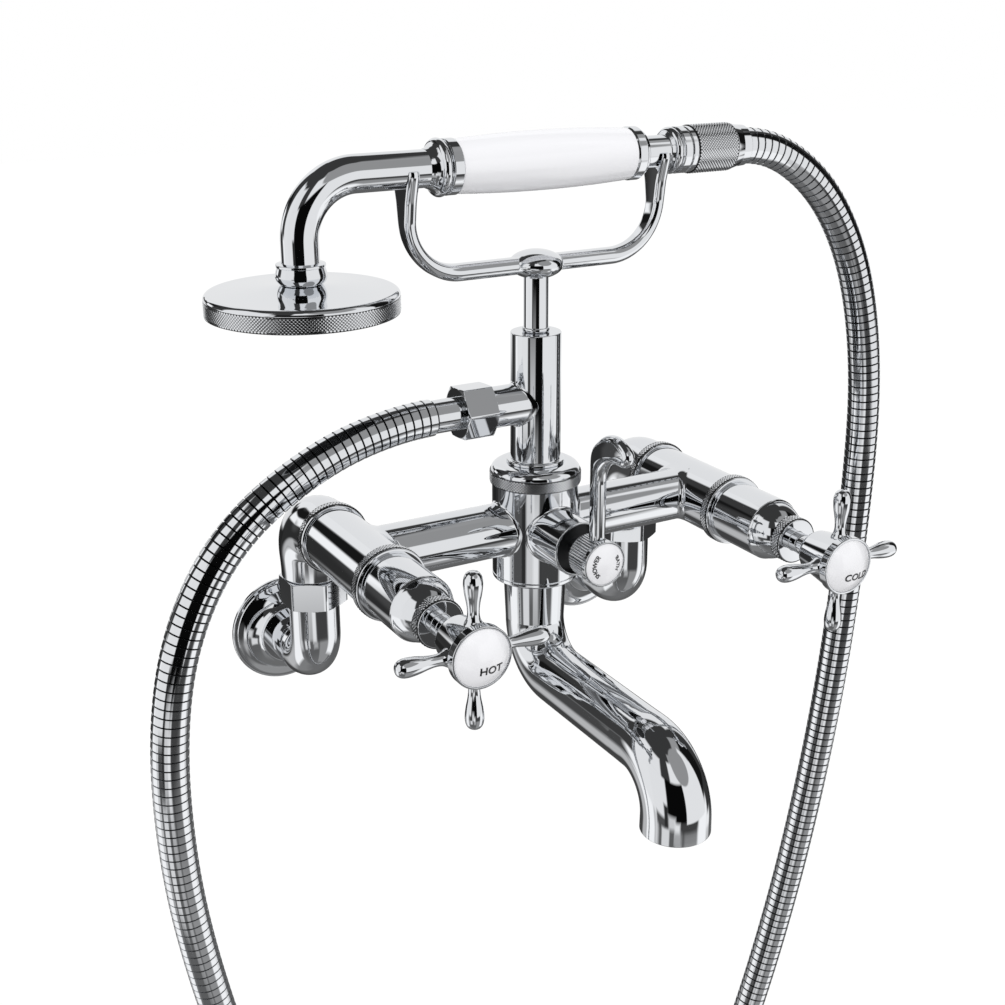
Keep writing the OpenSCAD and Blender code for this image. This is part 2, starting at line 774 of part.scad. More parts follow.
// Cross-head handle: sleeve, bell-shaped hub, four spokes and the bezel of the index
module handle(side) {
    shoulder = 3.6;
    low = hub_rear_d / 2 - shoulder;
    color(CHROME)
        out_of_wall(side * inlet_spacing / 2, valve_rise)
            difference() {
                union() {
                    turned(concat([[0, hub_back], [sleeve_d / 2, hub_back], [sleeve_d / 2, shoulder_back]],
                                  arc([low, shoulder_back + shoulder], shoulder, -90, 0, 5),
                                  [[hub_d / 2, bezel_back], [bezel_d / 2 - 0.3, bezel_back],
                                   [bezel_d / 2, bezel_back + 0.3], [bezel_d / 2, bezel_front - chamfer],
                                   [bezel_d / 2 - chamfer, bezel_front], [0, bezel_front]]));
                    for (turn = [0 : 90 : 270])
                        translate([0, 0, spoke_out])
                            rotate([0, 0, turn])
                                rotate([90, 0, 0])
                                    spoke();
                }
                shaft(spindle_d + 2 * fit, hub_back - over, spindle_front + clear);
                shaft(screw_d + 4 * fit, hub_back, bezel_front);
                shaft(screw_head_d + 2 * clear, screw_seat, bezel_front);
                shaft(index_d + 2 * fit, index_back, bezel_front + over);
            }
}

// Porcelain index with a domed face
module index(side) {
    r = index_d / 2;
    edge = bezel_front - 0.4;
    color(PORCELAIN)
        out_of_wall(side * inlet_spacing / 2, valve_rise)
            turned(concat([[0, index_back], [r, index_back], [r, edge]], cap(r, edge, index_dome)));
}

// Screw that holds the handle on its spindle
module handle_screw(side) {
    color(STEEL)
        out_of_wall(side * inlet_spacing / 2, valve_rise) {
            shaft(screw_d, spindle_front - screw_hold, screw_seat);
            shaft(screw_head_d, screw_seat, screw_seat + screw_head_t);
        }
}

// Tube from a valve body to the centre body, cut to sit on both
module cross_tube(side) {
    reach = inlet_spacing / 2;
    color(CHROME)
        difference() {
            translate([0, -body_out, valve_rise])
                rotate([0, side * 90, 0])
                    difference() {
                        cylinder(d = cross_d, h = reach);
                        translate([0, 0, -over]) cylinder(d = port_d, h = reach + 2 * over);
                    }
            translate([0, -body_out, valve_rise - cross_d]) cylinder(d = body_d, h = 2 * cross_d);
            out_of_wall(side * reach, valve_rise)
                shaft(valve_d, body_out - cross_d, body_out + cross_d);
        }
}

// Centre body with its ports, its spout socket and the boss of the diverter
module centre_body() {
    chamber = riser_bore + 3;
    color(CHROME)
        difference() {
            union() {
                translate([0, -body_out, 0]) shaft(body_d, body_low, body_top);
                out_of_wall(0, valve_rise) shaft(boss_d, body_out, boss_front);
            }
            translate([0, -body_out, 0]) {
                shaft(spout_top_d + 2 * fit, body_low - over, body_low + socket_depth);
                shaft(chamber, body_low, body_top);
                shaft(riser_d + 2 * fit, riser_low - web / 2, body_top + over);
            }
            along_wall(valve_rise) shaft(port_d, -body_d, body_d);
            out_of_wall(0, valve_rise) {
                shaft(bonnet_bore, body_out, boss_front);
                shaft(cup_d, cup_back, boss_front + over);
            }
        }
}

// Brass diverter cartridge in the boss
module diverter_cartridge() {
    color(BRASS)
        out_of_wall(0, valve_rise)
            difference() {
                shaft(cartridge_d, diverter_back, cup_back);
                shaft(spindle_d + 2 * run_fit, diverter_back - over, cup_back + over);
                shaft(disc_d + 2 * run_fit, diverter_back - over, diverter_back + cup_depth);
            }
}

// Diverter spindle with its turning disc
module diverter_spindle() {
    disc_front = diverter_back + cup_depth - run_fit;
    color(STEEL)
        out_of_wall(0, valve_rise) {
            shaft(disc_d, disc_front - disc_t, disc_front);
            shaft(spindle_d, disc_front, knob_back + knob_hold);
        }
}

// Outline of the lever seen from the side: strap, hook and round tip, from the spindle axis
module lever_outline() {
    hook = [hook_r, lever_rise];
    tip = hook + (hook_r - tip_r) * [cos(tip_turn), sin(tip_turn)];
    throat_r = (tip[0] - lever_w) * 0.75;
    throat = [lever_w + throat_r, tip[1] - tip_r - throat_r];
    polygon(concat([[0, lever_foot]],
                   arc(hook, hook_r, 180, tip_turn, 8),
                   arc(tip, tip_r, tip_turn, -90, 6),
                   arc(throat, throat_r, 90, 180, 6),
                   [[lever_w, lever_foot]]));
}

// Diverter lever with its fluted knob and the bezel of its index
module diverter_lever() {
    color(CHROME)
        difference() {
            union() {
                out_of_wall(0, valve_rise) {
                    shaft(knob_d, knob_back, knob_front);
                    shaft(knob_bezel_d, knob_front, knob_bezel_front);
                }
                side_plane(0)
                    translate([lever_back, valve_rise, 0])
                        linear_extrude(height = lever_t, center = true) lever_outline();
            }
            out_of_wall(0, valve_rise) {
                shaft(spindle_d + 2 * fit, knob_back - over, knob_back + knob_hold + clear);
                shaft(knob_index_d + 2 * fit, knob_bezel_front - knob_index_t, knob_bezel_front + over);
            }
        }
}

// Porcelain index of the diverter
module diverter_index() {
    r = knob_index_d / 2;
    back = knob_bezel_front - knob_index_t;
    edge = knob_bezel_front - 0.3;
    color(PORCELAIN)
        out_of_wall(0, valve_rise)
            turned(concat([[0, back], [r, back], [r, edge]], cap(r, edge, knob_dome)));
}

// Knurled nut that holds the riser on the centre body
module top_nut() {
    r = top_nut_d / 2;
    band = body_top + top_nut_band;
    inner = seal_d / 2 + 1.2;
    color(CHROME)
        translate([0, -body_out, 0])
            turned(concat([[seal_d / 2 + fit, body_top], [r - chamfer, body_top], [r, body_top + chamfer],
                           [r, band - chamfer], [r - chamfer, band]],
                          [for (a = [20 : 14 : 90])
                              [inner + (r - chamfer - inner) * cos(a), band + top_nut_shoulder * sin(a)]],
                          [[riser_d / 2 + fit, nut_top], [riser_d / 2 + fit, body_top + seal_t],
                           [seal_d / 2 + fit, body_top + seal_t]]));
}

// Rubber ring that seals the riser
module riser_seal() {
    color(RUBBER)
        translate([0, -body_out, 0]) ring(riser_d + 2 * fit, seal_d, body_top, body_top + seal_t);
}

// Riser with its base ring, its hose tee and a hole for the post
module riser() {
    color(CHROME)
        difference() {
            union() {
                translate([0, -body_out, 0]) {
                    shaft(riser_d, riser_low, riser_top);
                    shaft(riser_ring_d, nut_top, nut_top + riser_ring_h);
                }
                along_wall(tee_z) {
                    shaft(tee_d, -tee_len, 0);
                    shaft(thread_d, -tee_thread, -tee_len);
                }
            }
            translate([0, -body_out, 0]) {
                shaft(riser_bore, riser_low - over, riser_top - post_stud_len - 4);
                shaft(post_stud_d + 2 * fit, riser_top - post_stud_len - clear, riser_top + over);
            }
            along_wall(tee_z) shaft(tee_bore, -tee_thread - over, 0);
        }
}

// Post between riser and cradle, with a bead at its foot and a stud at each end
module post() {
    top = riser_top + post_h;
    r = post_d / 2;
    bead = r / 6;
    color(CHROME)
        translate([0, -body_out, 0])
            turned(concat([[0, riser_top - post_stud_len], [post_stud_d / 2, riser_top - post_stud_len],
                           [post_stud_d / 2, riser_top]],
                          arc([r - bead / 2, riser_top + bead], bead, -90, 60, 5),
                          [[r, riser_top + 2 * bead], [r, top], [boss_stud_d / 2, top],
                           [boss_stud_d / 2, top + boss_stud_len], [0, top + boss_stud_len]]));
}

// Outline of the cradle seen from the front: bar, round corners and two arms
module cradle_outline() {
    low = bar_z - bar_t / 2;
    high = bar_z + bar_t / 2;
    inner = cradle_corner - (bar_t + arm_t) / 2;
    for (side = [-1, 1])
        polygon([for (p = concat([[0, low]],
                                 arc([arm_out - cradle_corner, low + cradle_corner], cradle_corner,
                                     -90, 0, 8),
                                 [[arm_out, handset_z + over], [arm_in, handset_z + over]],
                                 arc([arm_in - inner, high + inner], inner, 0, -90, 8),
                                 [[0, high]]))
                 [side * p[0], p[1]]]);
}

// Outline of the cradle seen from the side: plain bar, arms that flare to the fork
module fork_outline() {
    half = bar_depth / 2;
    wide = notch_d / 2 + prong_t;
    right = [[half, -bar_t], [half, fork_rise - notch_d * 1.35],
             [half + (wide - half) * 0.3, fork_rise - notch_d * 0.8],
             [half + (wide - half) * 0.7, fork_rise - notch_d * 0.43],
             [wide - prong_t / 5, fork_rise - notch_d * 0.2],
             [wide, fork_rise - prong_t], [wide - prong_t / 2, fork_rise]];
    mirrored = [for (i = [len(right) - 1 : -1 : 0]) [-right[i][0], right[i][1]]];
    polygon(concat(right, mirrored));
}

// Cradle with its oval boss on the post and an open fork at each end
module cradle() {
    color(CHROME)
        difference() {
            union() {
                intersection() {
                    front_plane()
                        linear_extrude(height = 2 * (notch_d + prong_t), center = true) cradle_outline();
                    side_plane(0)
                        translate([body_out, bar_z, 0])
                            linear_extrude(height = 2 * arm_out + 2, center = true) fork_outline();
                }
                translate([0, -body_out, bar_z])
                    turned([for (a = [-90 : 15 : 90])
                            [cradle_boss_d / 2 * cos(a), cradle_boss_h / 2 * sin(a)]]);
            }
            along_wall(handset_z) shaft(notch_d, -arm_out - over, arm_out + over);
            translate([0, -body_out, bar_z - cradle_boss_h / 2])
                shaft(boss_stud_d + 2 * fit, -over, boss_stud_len + clear);
        }
}

// Pipe of the spout at one diameter per stretch, from the body to the mouth
module spout_pipe(d_top, d, d_mouth, top, low) {
    run_y(body_out, spout_turn, top - spout_turn, d, d_top);
    quarter([body_out + spout_bend, spout_turn], spout_bend, 180, d);
    run_x(body_out + spout_bend, spout_level, spout_run, d, d);
    quarter([mouth_out - mouth_bend, mouth_top], mouth_bend, 0, d);
    run_y(mouth_out, low, mouth_top - low, d_mouth, d);
}

// Bath spout with a seat for the flow straightener in its mouth
module spout() {
    color(CHROME)
        side_plane(0)
            difference() {
                union() {
                    spout_pipe(spout_top_d, spout_d, spout_mouth_d, body_low, mouth_low);
                    run_y(body_out, body_low, socket_depth - web / 2, spout_top_d, spout_top_d);
                }
                spout_pipe(spout_bore, spout_bore, spout_bore, body_low + socket_depth + over,
                           mouth_low - over);
                run_y(mouth_out, mouth_low - over, straightener_seat + over, straightener_d + 2 * fit,
                      straightener_d + 2 * fit);
            }
}

// Perforated disc that straightens the water in the mouth of the spout
module flow_straightener() {
    low = mouth_low + straightener_in;
    hole_d = 3;
    color(STEEL)
        translate([0, -mouth_out, 0])
            difference() {
                shaft(straightener_d, low, low + straightener_t);
                shaft(hole_d, low - over, low + straightener_t + over);
                for (turn = [0 : 60 : 300])
                    rotate([0, 0, turn])
                        translate([straightener_d / 3.4, 0, 0])
                            shaft(hole_d, low - over, low + straightener_t + over);
            }
}

// Hexagon nut that holds the hose on the tee
module tee_nut() {
    color(CHROME)
        along_wall(tee_z)
            difference() {
                rotate([0, 0, nut_turn]) hexagon(tee_nut_af, -tee_nut_end, -tee_nut_back);
                shaft(sleeve_end_d + 2 * fit, -tee_nut_end - over, -tee_nut_back);
                shaft(thread_d + 2 * fit, -ferrule_flange_end, -tee_nut_back + over);
            }
}

// Washer between tee and hose
module tee_washer() {
    color(RUBBER)
        along_wall(tee_z) ring(tee_bore, thread_d - 0.2, -tee_washer_end, -tee_thread);
}

// Flanged ferrule that the tee nut pulls against
module hose_ferrule() {
    color(STEEL)
        along_wall(tee_z)
            difference() {
                union() {
                    shaft(thread_d - 0.2, -ferrule_flange_end, -tee_washer_end);
                    shaft(sleeve_end_d, -hose_start, -ferrule_flange_end);
                }
                shaft(hose_bore, -hose_start - over, -tee_washer_end + over);
            }
}

// Ribbed metal hose with a plain sleeve at the tee end: one swept tube with its bore
module hose() {
    crest = hose_d / 2;
    pitch = (hose_length - plain_end) / rib_count;
    stations = concat([[0, sleeve_end_d / 2], [plain_end, sleeve_end_d / 2]],
                      [for (i = [0 : rib_count - 1], half = [0, 1])
                          [plain_end + pitch * (i + 0.3 + half * 0.5), crest - half * rib_depth]],
                      [[hose_length, crest - rib_depth]]);
    outer = len(stations);
    inner = hose_spans + 1;
    skin = [for (s = stations) each hose_ring(s[0], s[1])];
    bore = [for (i = [0 : hose_spans])
            each hose_ring(hose_lengths[i * span_steps][0], hose_bore / 2)];
    first = outer * hose_sides;
    last = first + hose_spans * hose_sides;
    faces = concat([for (i = [0 : outer - 2]) each band(i * hose_sides, (i + 1) * hose_sides)],
                   [for (i = [0 : inner - 2])
                    each band(first + (i + 1) * hose_sides, first + i * hose_sides)],
                   band(first, 0),
                   band((outer - 1) * hose_sides, last));
    color(STEEL) polyhedron(points = concat(skin, bore), faces = faces);
}

// Knurled nut that holds the hose on the handset, with a socket for the hose end
module hose_nut() {
    r = hose_nut_d / 2;
    band = flare_d / 2;
    knurl = hose_nut_front + hose_nut_band;
    mouth = hose_d / 2 + clear;
    color(CHROME)
        along_wall(handset_z)
            turned([[thread_d / 2 + fit, hose_nut_front], [band - chamfer, hose_nut_front],
                    [band, hose_nut_front + chamfer], [band, knurl], [r, knurl + chamfer],
                    [r, hose_nut_end - hose_nut_taper], [mouth + 1, hose_nut_end - hose_nut_taper / 2],
                    [mouth + 0.7, hose_nut_end], [mouth, hose_nut_end],
                    [mouth, hose_end - clear], [hose_bore / 2, hose_end - clear],
                    [hose_bore / 2, thread_end + washer_t], [thread_d / 2 + fit, thread_end + washer_t]]);
}

// Washer between handset and hose
module hose_nut_washer() {
    color(RUBBER)
        along_wall(handset_z) ring(stem_bore, thread_d - 0.2, thread_end, thread_end + washer_t);
}

// Stem through the grip, with the rear spigot, its beaded collar and the hose thread
module handset_spigot() {
    tail = tail_d / 2;
    flare = flare_d / 2;
    bead = 2;
    middle = flare_back + 1.8 * bead;
    color(CHROME)
        along_wall(handset_z)
            turned(concat([[stem_bore / 2, neck_end], [stem_d / 2, neck_end],
                           [stem_d / 2, rear_ferrule_end], [tail, rear_ferrule_end],
                           [tail, flare_back], [tail + bead / 4, flare_back + bead / 3]],
                          arc([flare - bead, middle], bead, -90, 60, 6),
                          [[flare - bead / 10, middle + bead], [flare, middle + 1.2 * bead],
                           [flare, flare_end - chamfer], [flare - chamfer, flare_end],
                           [thread_d / 2, flare_end], [thread_d / 2, thread_end],
                           [stem_bore / 2, thread_end]]));
}

// Turned ferrule at the rear end of the grip
module rear_ferrule() {
    r = ferrule_d / 2;
    bore = stem_d / 2 + fit;
    color(CHROME)
        along_wall(handset_z)
            turned([[bore, grip_back], [r - 0.4, grip_back], [r, grip_back + chamfer],
                    [r, rear_ferrule_end - 2.6], [r - 1.4, rear_ferrule_end - chamfer],
                    [r - 2, rear_ferrule_end], [bore, rear_ferrule_end]]);
}

// Barrel-shaped porcelain grip
module handset_grip() {
    steps = 12;
    color(PORCELAIN)
        along_wall(handset_z)
            turned(concat([[stem_d / 2 + 2 * fit, -grip_front]],
                          [for (i = [0 : steps])
                              let (t = i / steps)
                              [grip_end_d / 2 + (grip_mid_d - grip_end_d) * 2 * t * (1 - t),
                               -grip_front + grip_len * t]],
                          [[stem_d / 2 + 2 * fit, grip_back]]));
}

// Turned ferrule at the front end of the grip: ring, bead and a trumpet down to the neck
module front_ferrule() {
    r = ferrule_d / 2;
    neck = neck_d / 2 + fit;
    stem = stem_d / 2 + fit;
    start = front_ferrule_end;
    bead = 2.2;
    middle = start + 2.8 * bead;
    color(CHROME)
        along_wall(handset_z)
            turned(concat([[neck, start], [neck + bead / 6, start], [neck + bead / 3, start + bead * 0.8],
                           [neck + bead * 0.8, start + bead * 1.4]],
                          arc([r - bead * 0.8, middle], bead, -75, 70, 7),
                          [[r - bead / 10, middle + bead * 1.1], [r, middle + bead * 1.2],
                           [r, -grip_front - clear], [r - clear, -grip_front],
                           [stem, -grip_front], [stem, neck_end], [neck, neck_end]]));
}

// Pipe of the handset neck, along the wall and down
module neck_pipe(d, front, low) {
    start = neck_bend - rose_x;
    run_x(start, handset_z, front - start, d, d);
    quarter([start, handset_z - neck_bend], neck_bend, 90, d);
    run_y(-rose_x, low, handset_z - neck_bend - low, d, d);
}

// Bent neck between the grip and the rose
module handset_neck() {
    low = collar_low + collar_seat;
    color(CHROME)
        front_plane()
            difference() {
                neck_pipe(neck_d, neck_end, low);
                neck_pipe(neck_bore, neck_end + over, low - over);
            }
}

// Collar that joins the neck to the rose, swelling near its foot and lipped at its top
module rose_collar() {
    bore = neck_d / 2 + fit;
    r = rose_collar_d / 2;
    h = rose_collar_h;
    lip = r - 1.1;
    color(CHROME)
        translate([-rose_x, -body_out, collar_low])
            turned([[neck_bore / 2, 0], [bore + chamfer, 0], [r - 2, h * 0.03], [r - 0.5, h * 0.15],
                    [r, h * 0.3], [r - 0.3, h * 0.5], [r - 1, h * 0.68], [lip - 0.2, h * 0.78],
                    [lip, h * 0.8], [lip, h * 0.92], [bore + chamfer, h], [bore, h],
                    [bore, collar_seat], [neck_bore / 2, collar_seat]]);
}

// Shell of the rose: trumpet-shaped top, rounded rim and straight edge
module rose_shell() {
    r = rose_d / 2;
    edge = rose_low + rose_edge;
    color(CHROME)
        translate([-rose_x, -body_out, 0])
            turned([[neck_bore / 2, rose_top], [r * 0.22, rose_top], [r * 0.3, rose_top - rose_dome * 0.3],
                    [r * 0.45, rose_top - rose_dome * 0.56], [r * 0.7, rose_top - rose_dome * 0.84],
                    [r - 2.2, edge], [r - 0.6, edge - 0.6],
                    [r, edge - 1.8], [r, rose_low], [r - rose_wall, rose_low],
                    [r - rose_wall, edge - rose_wall], [neck_bore / 2, rose_top - rose_wall]]);
}

// Spray plate under the rose, drilled in rings
module spray_plate() {
    r = rose_d / 2 - rose_wall - fit;
    low = rose_low + plate_in;
    step = (r - 4) / spray_rings;
    color(CHROME)
        translate([-rose_x, -body_out, 0])
            difference() {
                shaft(2 * r, low, low + plate_t);
                for (i = [1 : spray_rings], k = [1 : 6 * i])
                    rotate([0, 0, 60 * k / i])
                        translate([i * step, 0, 0])
                            shaft(spray_d, low - over, low + plate_t + over);
            }
}

for (side = SIDES) {
    name = side[0];
    wall_flange(side[1]);
    wall_elbow(side[1]);
    union_nut(side[1]);
    union_washer(side[1]);
    inlet_elbow(side[1]);
    rear_ring(side[1]);
    valve_body(side[1]);
    front_ring(side[1]);
    bonnet(side[1]);
    collar(side[1]);
    cartridge(side[1]);
    spindle(side[1]);
    handle(side[1]);
    index(side[1]);
    handle_screw(side[1]);
    cross_tube(side[1]);
}
centre_body();
diverter_cartridge();
diverter_spindle();
diverter_lever();
diverter_index();
top_nut();
riser();
riser_seal();
post();
cradle();
spout();
flow_straightener();
tee_nut();
tee_washer();
hose_ferrule();
hose();
hose_nut();
hose_nut_washer();
handset_spigot();
rear_ferrule();
handset_grip();
front_ferrule();
handset_neck();
rose_collar();
rose_shell();
spray_plate();
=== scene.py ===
"""Bath and shower mixer, dressed: polished chrome, glazed porcelain, diamond knurls and a ribbed metal hose
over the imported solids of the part. Stations and radii are millimetres, in the frame of the solids."""
import json

import bpy
import numpy as np
from mathutils import Matrix


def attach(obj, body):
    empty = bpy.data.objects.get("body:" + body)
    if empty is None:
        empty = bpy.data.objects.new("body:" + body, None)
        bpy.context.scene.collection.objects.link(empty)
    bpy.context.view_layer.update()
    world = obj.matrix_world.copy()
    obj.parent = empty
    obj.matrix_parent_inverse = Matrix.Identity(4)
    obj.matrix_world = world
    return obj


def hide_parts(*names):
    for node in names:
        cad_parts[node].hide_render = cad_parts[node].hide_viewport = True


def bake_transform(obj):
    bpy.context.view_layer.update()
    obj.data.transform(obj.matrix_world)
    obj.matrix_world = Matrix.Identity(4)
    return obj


bl_info = {
    "name": "Bath shower mixer",
    "version": (1, 0, 0),
    "blender": (4, 5, 0),
    "location": "View3D > Sidebar > Mixer",
    "description": "Builds the finished surfaces of a wall-mounted bath and shower mixer and its studio",
    "category": "Object",
}

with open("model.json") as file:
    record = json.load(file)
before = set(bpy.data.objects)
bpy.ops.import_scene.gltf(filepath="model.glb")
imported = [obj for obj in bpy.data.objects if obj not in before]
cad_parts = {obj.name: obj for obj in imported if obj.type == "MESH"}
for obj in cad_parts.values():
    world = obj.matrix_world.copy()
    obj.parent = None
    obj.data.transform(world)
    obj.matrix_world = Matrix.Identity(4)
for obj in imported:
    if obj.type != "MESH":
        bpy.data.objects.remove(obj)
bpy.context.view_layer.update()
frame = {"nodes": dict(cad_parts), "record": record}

# Metres in a millimetre, the widest turn between two points of an arc, the angle from which an edge is shaded
# sharp, and the widest step between two rings of a bent tube, in millimetres
MM = 0.001
ARC_STEP = np.radians(9)
SHARP_ANGLE = np.radians(32)
TUBE_STEP = 1.2

# Places and radii of the finished surfaces, in millimetres
INLET_X = 90.0
LEG_OUT = 45.5
VALVE_Z = 74.0
BODY_OUT = 102.0
TEE_Z = 133.0
HANDSET_Z = 240.0
ROSE_X = -110.0
BODY_R = 20.0
VALVE_R = 15.0
TUBE_R = 12.45
BOSS_R = 12.75
RISER_R = 11.5
TEE_R = 9.3
SIDES = (("hot", -INLET_X), ("cold", INLET_X))

# Camera of the photograph: azimuth, elevation and roll in degrees, lens and place in millimetres
CAMERA_TURN = (-29.245, 20.136, -0.221)
CAMERA_LENS = 52.171
CAMERA_PLACE = (-324.3, -650.1, 317.2)

# Route of the hose in the plane of the body axis, as (x, z) in metres
HOSE_ROUTE = np.array([
    (-0.041, 0.133), (-0.058, 0.133), (-0.076, 0.131), (-0.100, 0.125), (-0.127, 0.111), (-0.147, 0.095),
    (-0.162, 0.075), (-0.173, 0.050), (-0.179, 0.024), (-0.182, -0.006), (-0.182, -0.038), (-0.180, -0.072),
    (-0.174, -0.114), (-0.164, -0.164), (-0.151, -0.216), (-0.137, -0.266), (-0.119, -0.312),
    (-0.096, -0.354), (-0.064, -0.390), (-0.024, -0.412), (0.020, -0.414), (0.062, -0.398), (0.097, -0.366),
    (0.124, -0.326), (0.146, -0.274), (0.166, -0.204), (0.178, -0.150), (0.188, -0.092), (0.195, -0.036),
    (0.199, 0.024), (0.201, 0.088), (0.198, 0.126), (0.191, 0.160), (0.180, 0.189), (0.163, 0.214),
    (0.145, 0.229), (0.127, 0.238), (0.11175, 0.240), (0.10275, 0.240), (0.09375, 0.240)])

# Light panels and dark flags of the studio that the metal mirrors, painted in this order over a dark room:
# azimuth from and to (0 is straight out of the wall, 90 is +x), elevation from and to, brightness, soft edge.
# The round lamp is given by its azimuth, elevation, radius, brightness and soft edge.
DARK_ROOM = 0.045
STUDIO = (
    (-180, 180, -90, -27, 0.13, 3),
    (-180, 180, -90, -62, 0.17, 10),
    (-165, -90, -75, -45, 0.24, 8),
    (-6, 62, -78, -27, 0.32, 4),
    (-180, -162, -50, -28, 0.06, 4),
    (158, 180, -50, -28, 0.06, 4),
    (-162, -138, -48, -25, 0.55, 5),
    (-138, -100, -52, -2, 1.08, 3),
    (-100, -88, -38, -14, 0.75, 5),
    (-76, -52, -40, -27, 0.80, 2),
    (-147, -133, -23, 0, 0.07, 3),
    (38, 76, -54, -12, 1.08, 4),
    (72, 92, -34, -12, 1.00, 3),
    (-122, -92, -20, 53, 0.92, 2),
    (-96, -55, -20, 26, 0.90, 1.5),
    (-94, -64, 24, 50, 0.90, 2),
    (-90, -64, -26, -18, 0.09, 2),
    (-55, 0, -18, 28, 0.003, 1.5),
    (-66, -54, -26, -4, 0.03, 2),
    (-54, -33, -27, -13, 0.72, 3),
    (-36, -20, -31, -19, 0.92, 3),
    (-34, -14, -42, -30, 0.45, 4),
    (-15, 33, -30, -19, 0.06, 3),
    (-25, 92, 30, 66, 0.35, 1.5),
    (0, 68, -20, 30, 0.92, 1),
    (-37, 66, 28, 54, 0.92, 2),
    (18, 47, 24, 0.33, 1),
    (68, 94, -6, 46, 0.008, 1.5),
    (78, 100, -24, -8, 0.04, 2),
    (104, 122, -30, -9, 0.02, 2),
    (112, 180, -16, 50, 0.90, 2),
    (-180, -163, 10, 46, 0.95, 2),
    (-163, -134, 15, 28, 0.01, 1.5),
    (-171, -155, -1, 15, 0.01, 1.5),
    (-159, -144, 0, 14, 1.08, 1.5),
    (-142, -126, 0, 22, 0.05, 2),
    (-180, -163, -14, 3, 0.85, 2),
    (-159, -147, -26, -2, 0.03, 1.5),
    (-180, -158, -27, -15, 0.02, 2),
)


def linear(colour):
    """Linear red, green and blue of an sRGB hex colour: a value up to 0.04045 is divided by 12.92, and one
    above it is ((value + 0.055) / 1.055) to the power 2.4."""
    value = np.array([int(colour[i:i + 2], 16) for i in (1, 3, 5)]) / 255
    return tuple(np.where(value <= 0.04045, value / 12.92, ((value + 0.055) / 1.055) ** 2.4))


def add(tree, kind, inputs=None, **settings):
    """Adds a node with its settings; each input is a value, or an output socket that is linked to it."""
    node = tree.nodes.new(kind)
    for name, value in settings.items():
        setattr(node, name, value)
    for name, value in (inputs or {}).items():
        if isinstance(value, bpy.types.NodeSocket):
            tree.links.new(value, node.inputs[name])
        else:
            node.inputs[name].default_value = value
    return node


class MixerSizes(bpy.types.PropertyGroup):
    """Sizes of the fine detail that the solids leave to the finished surfaces."""
    knurl_pitch: bpy.props.FloatProperty(
        name="Knurl pitch", description="Distance between two teeth of the diamond knurls",
        default=0.0015, min=0.0008, max=0.003, precision=5, unit="LENGTH")
    knurl_depth: bpy.props.FloatProperty(
        name="Knurl depth", description="Height of a knurl tooth",
        default=0.0002, min=0.0001, max=0.001, precision=5, unit="LENGTH")
    flutes: bpy.props.IntProperty(
        name="Flutes", description="Flutes round the diverter knob", default=52, min=12, max=80)
    rib_pitch: bpy.props.FloatProperty(
        name="Rib pitch", description="Distance between two bands of the hose",
        default=0.0040, min=0.002, max=0.008, precision=5, unit="LENGTH")
    rib_depth: bpy.props.FloatProperty(
        name="Groove depth", description="Depth of the groove between two bands of the hose",
        default=0.0011, min=0.0002, max=0.0015, precision=5, unit="LENGTH")
    word_height: bpy.props.FloatProperty(
        name="Word size", description="Letter size of the words on the handle indices",
        default=0.0047, min=0.001, max=0.006, precision=5, unit="LENGTH")


class MixerFinishes(bpy.types.PropertyGroup):
    """Colours of the finishes and levels of the light."""
    chrome: bpy.props.FloatVectorProperty(
        name="Chrome", description="Mirror colour of the chrome plate", subtype="COLOR",
        default=linear("#e6e8eb"), min=0, max=1)
    porcelain: bpy.props.FloatVectorProperty(
        name="Porcelain", description="Glaze of the grip and the indices", subtype="COLOR",
        default=linear("#f0f0f3"), min=0, max=1)
    # Painted shade: this dark colour is laid into the cuts of the knurls, the folds of the hose and the sheet
    # in the centre body's cup, where shade falls
    groove: bpy.props.FloatVectorProperty(
        name="Groove", description="Shadowed metal in the folds of the hose and the cuts of the knurls",
        subtype="COLOR", default=linear("#0d0d0e"), min=0, max=1)
    brass: bpy.props.FloatVectorProperty(
        name="Brass", description="Machined brass of the cartridges", subtype="COLOR",
        default=linear("#c9a862"), min=0, max=1)
    steel: bpy.props.FloatVectorProperty(
        name="Steel", description="Bright steel of spindles and screws", subtype="COLOR",
        default=linear("#c4c7ca"), min=0, max=1)
    rubber: bpy.props.FloatVectorProperty(
        name="Rubber", description="Black rubber of the washers", subtype="COLOR",
        default=linear("#232426"), min=0, max=1)
    lettering: bpy.props.FloatVectorProperty(
        name="Lettering", description="Fired black of the words", subtype="COLOR",
        default=linear("#141416"), min=0, max=1)
    floor: bpy.props.FloatVectorProperty(
        name="Floor", description="Pale studio floor", subtype="COLOR",
        default=linear("#eeeeee"), min=0, max=1)
    fill: bpy.props.FloatProperty(
        name="Fill light", description="Strength of the even light round the object",
        default=0.9, min=0, max=2)
    key: bpy.props.FloatProperty(
        name="Key light", description="Power of the soft light above",
        default=10.0, min=0, max=100, subtype="POWER")


def new_material(name, finish, sockets):
    """Node material with its output and a Principled shader, in the plain colour of a finish where one is
    named; other sockets are set to the constants given."""
    material = bpy.data.materials.new(name)
    material.use_nodes = True
    tree = material.node_tree
    tree.nodes.clear()
    colour = {"Base Color": (*getattr(bpy.context.scene.mixer_finishes, finish), 1)} if finish else {}
    shader = add(tree, "ShaderNodeBsdfPrincipled", {**colour, **sockets})
    add(tree, "ShaderNodeOutputMaterial", {"Surface": shader.outputs["BSDF"]})
    return material, tree, shader


def patches(tree, width, detail):
    """Noise in object coordinates, with patches about as wide as given in metres."""
    place = add(tree, "ShaderNodeTexCoord").outputs["Object"]
    noise = {"Vector": place, "Scale": 1 / width, "Detail": detail}
    return add(tree, "ShaderNodeTexNoise", noise).outputs["Fac"]


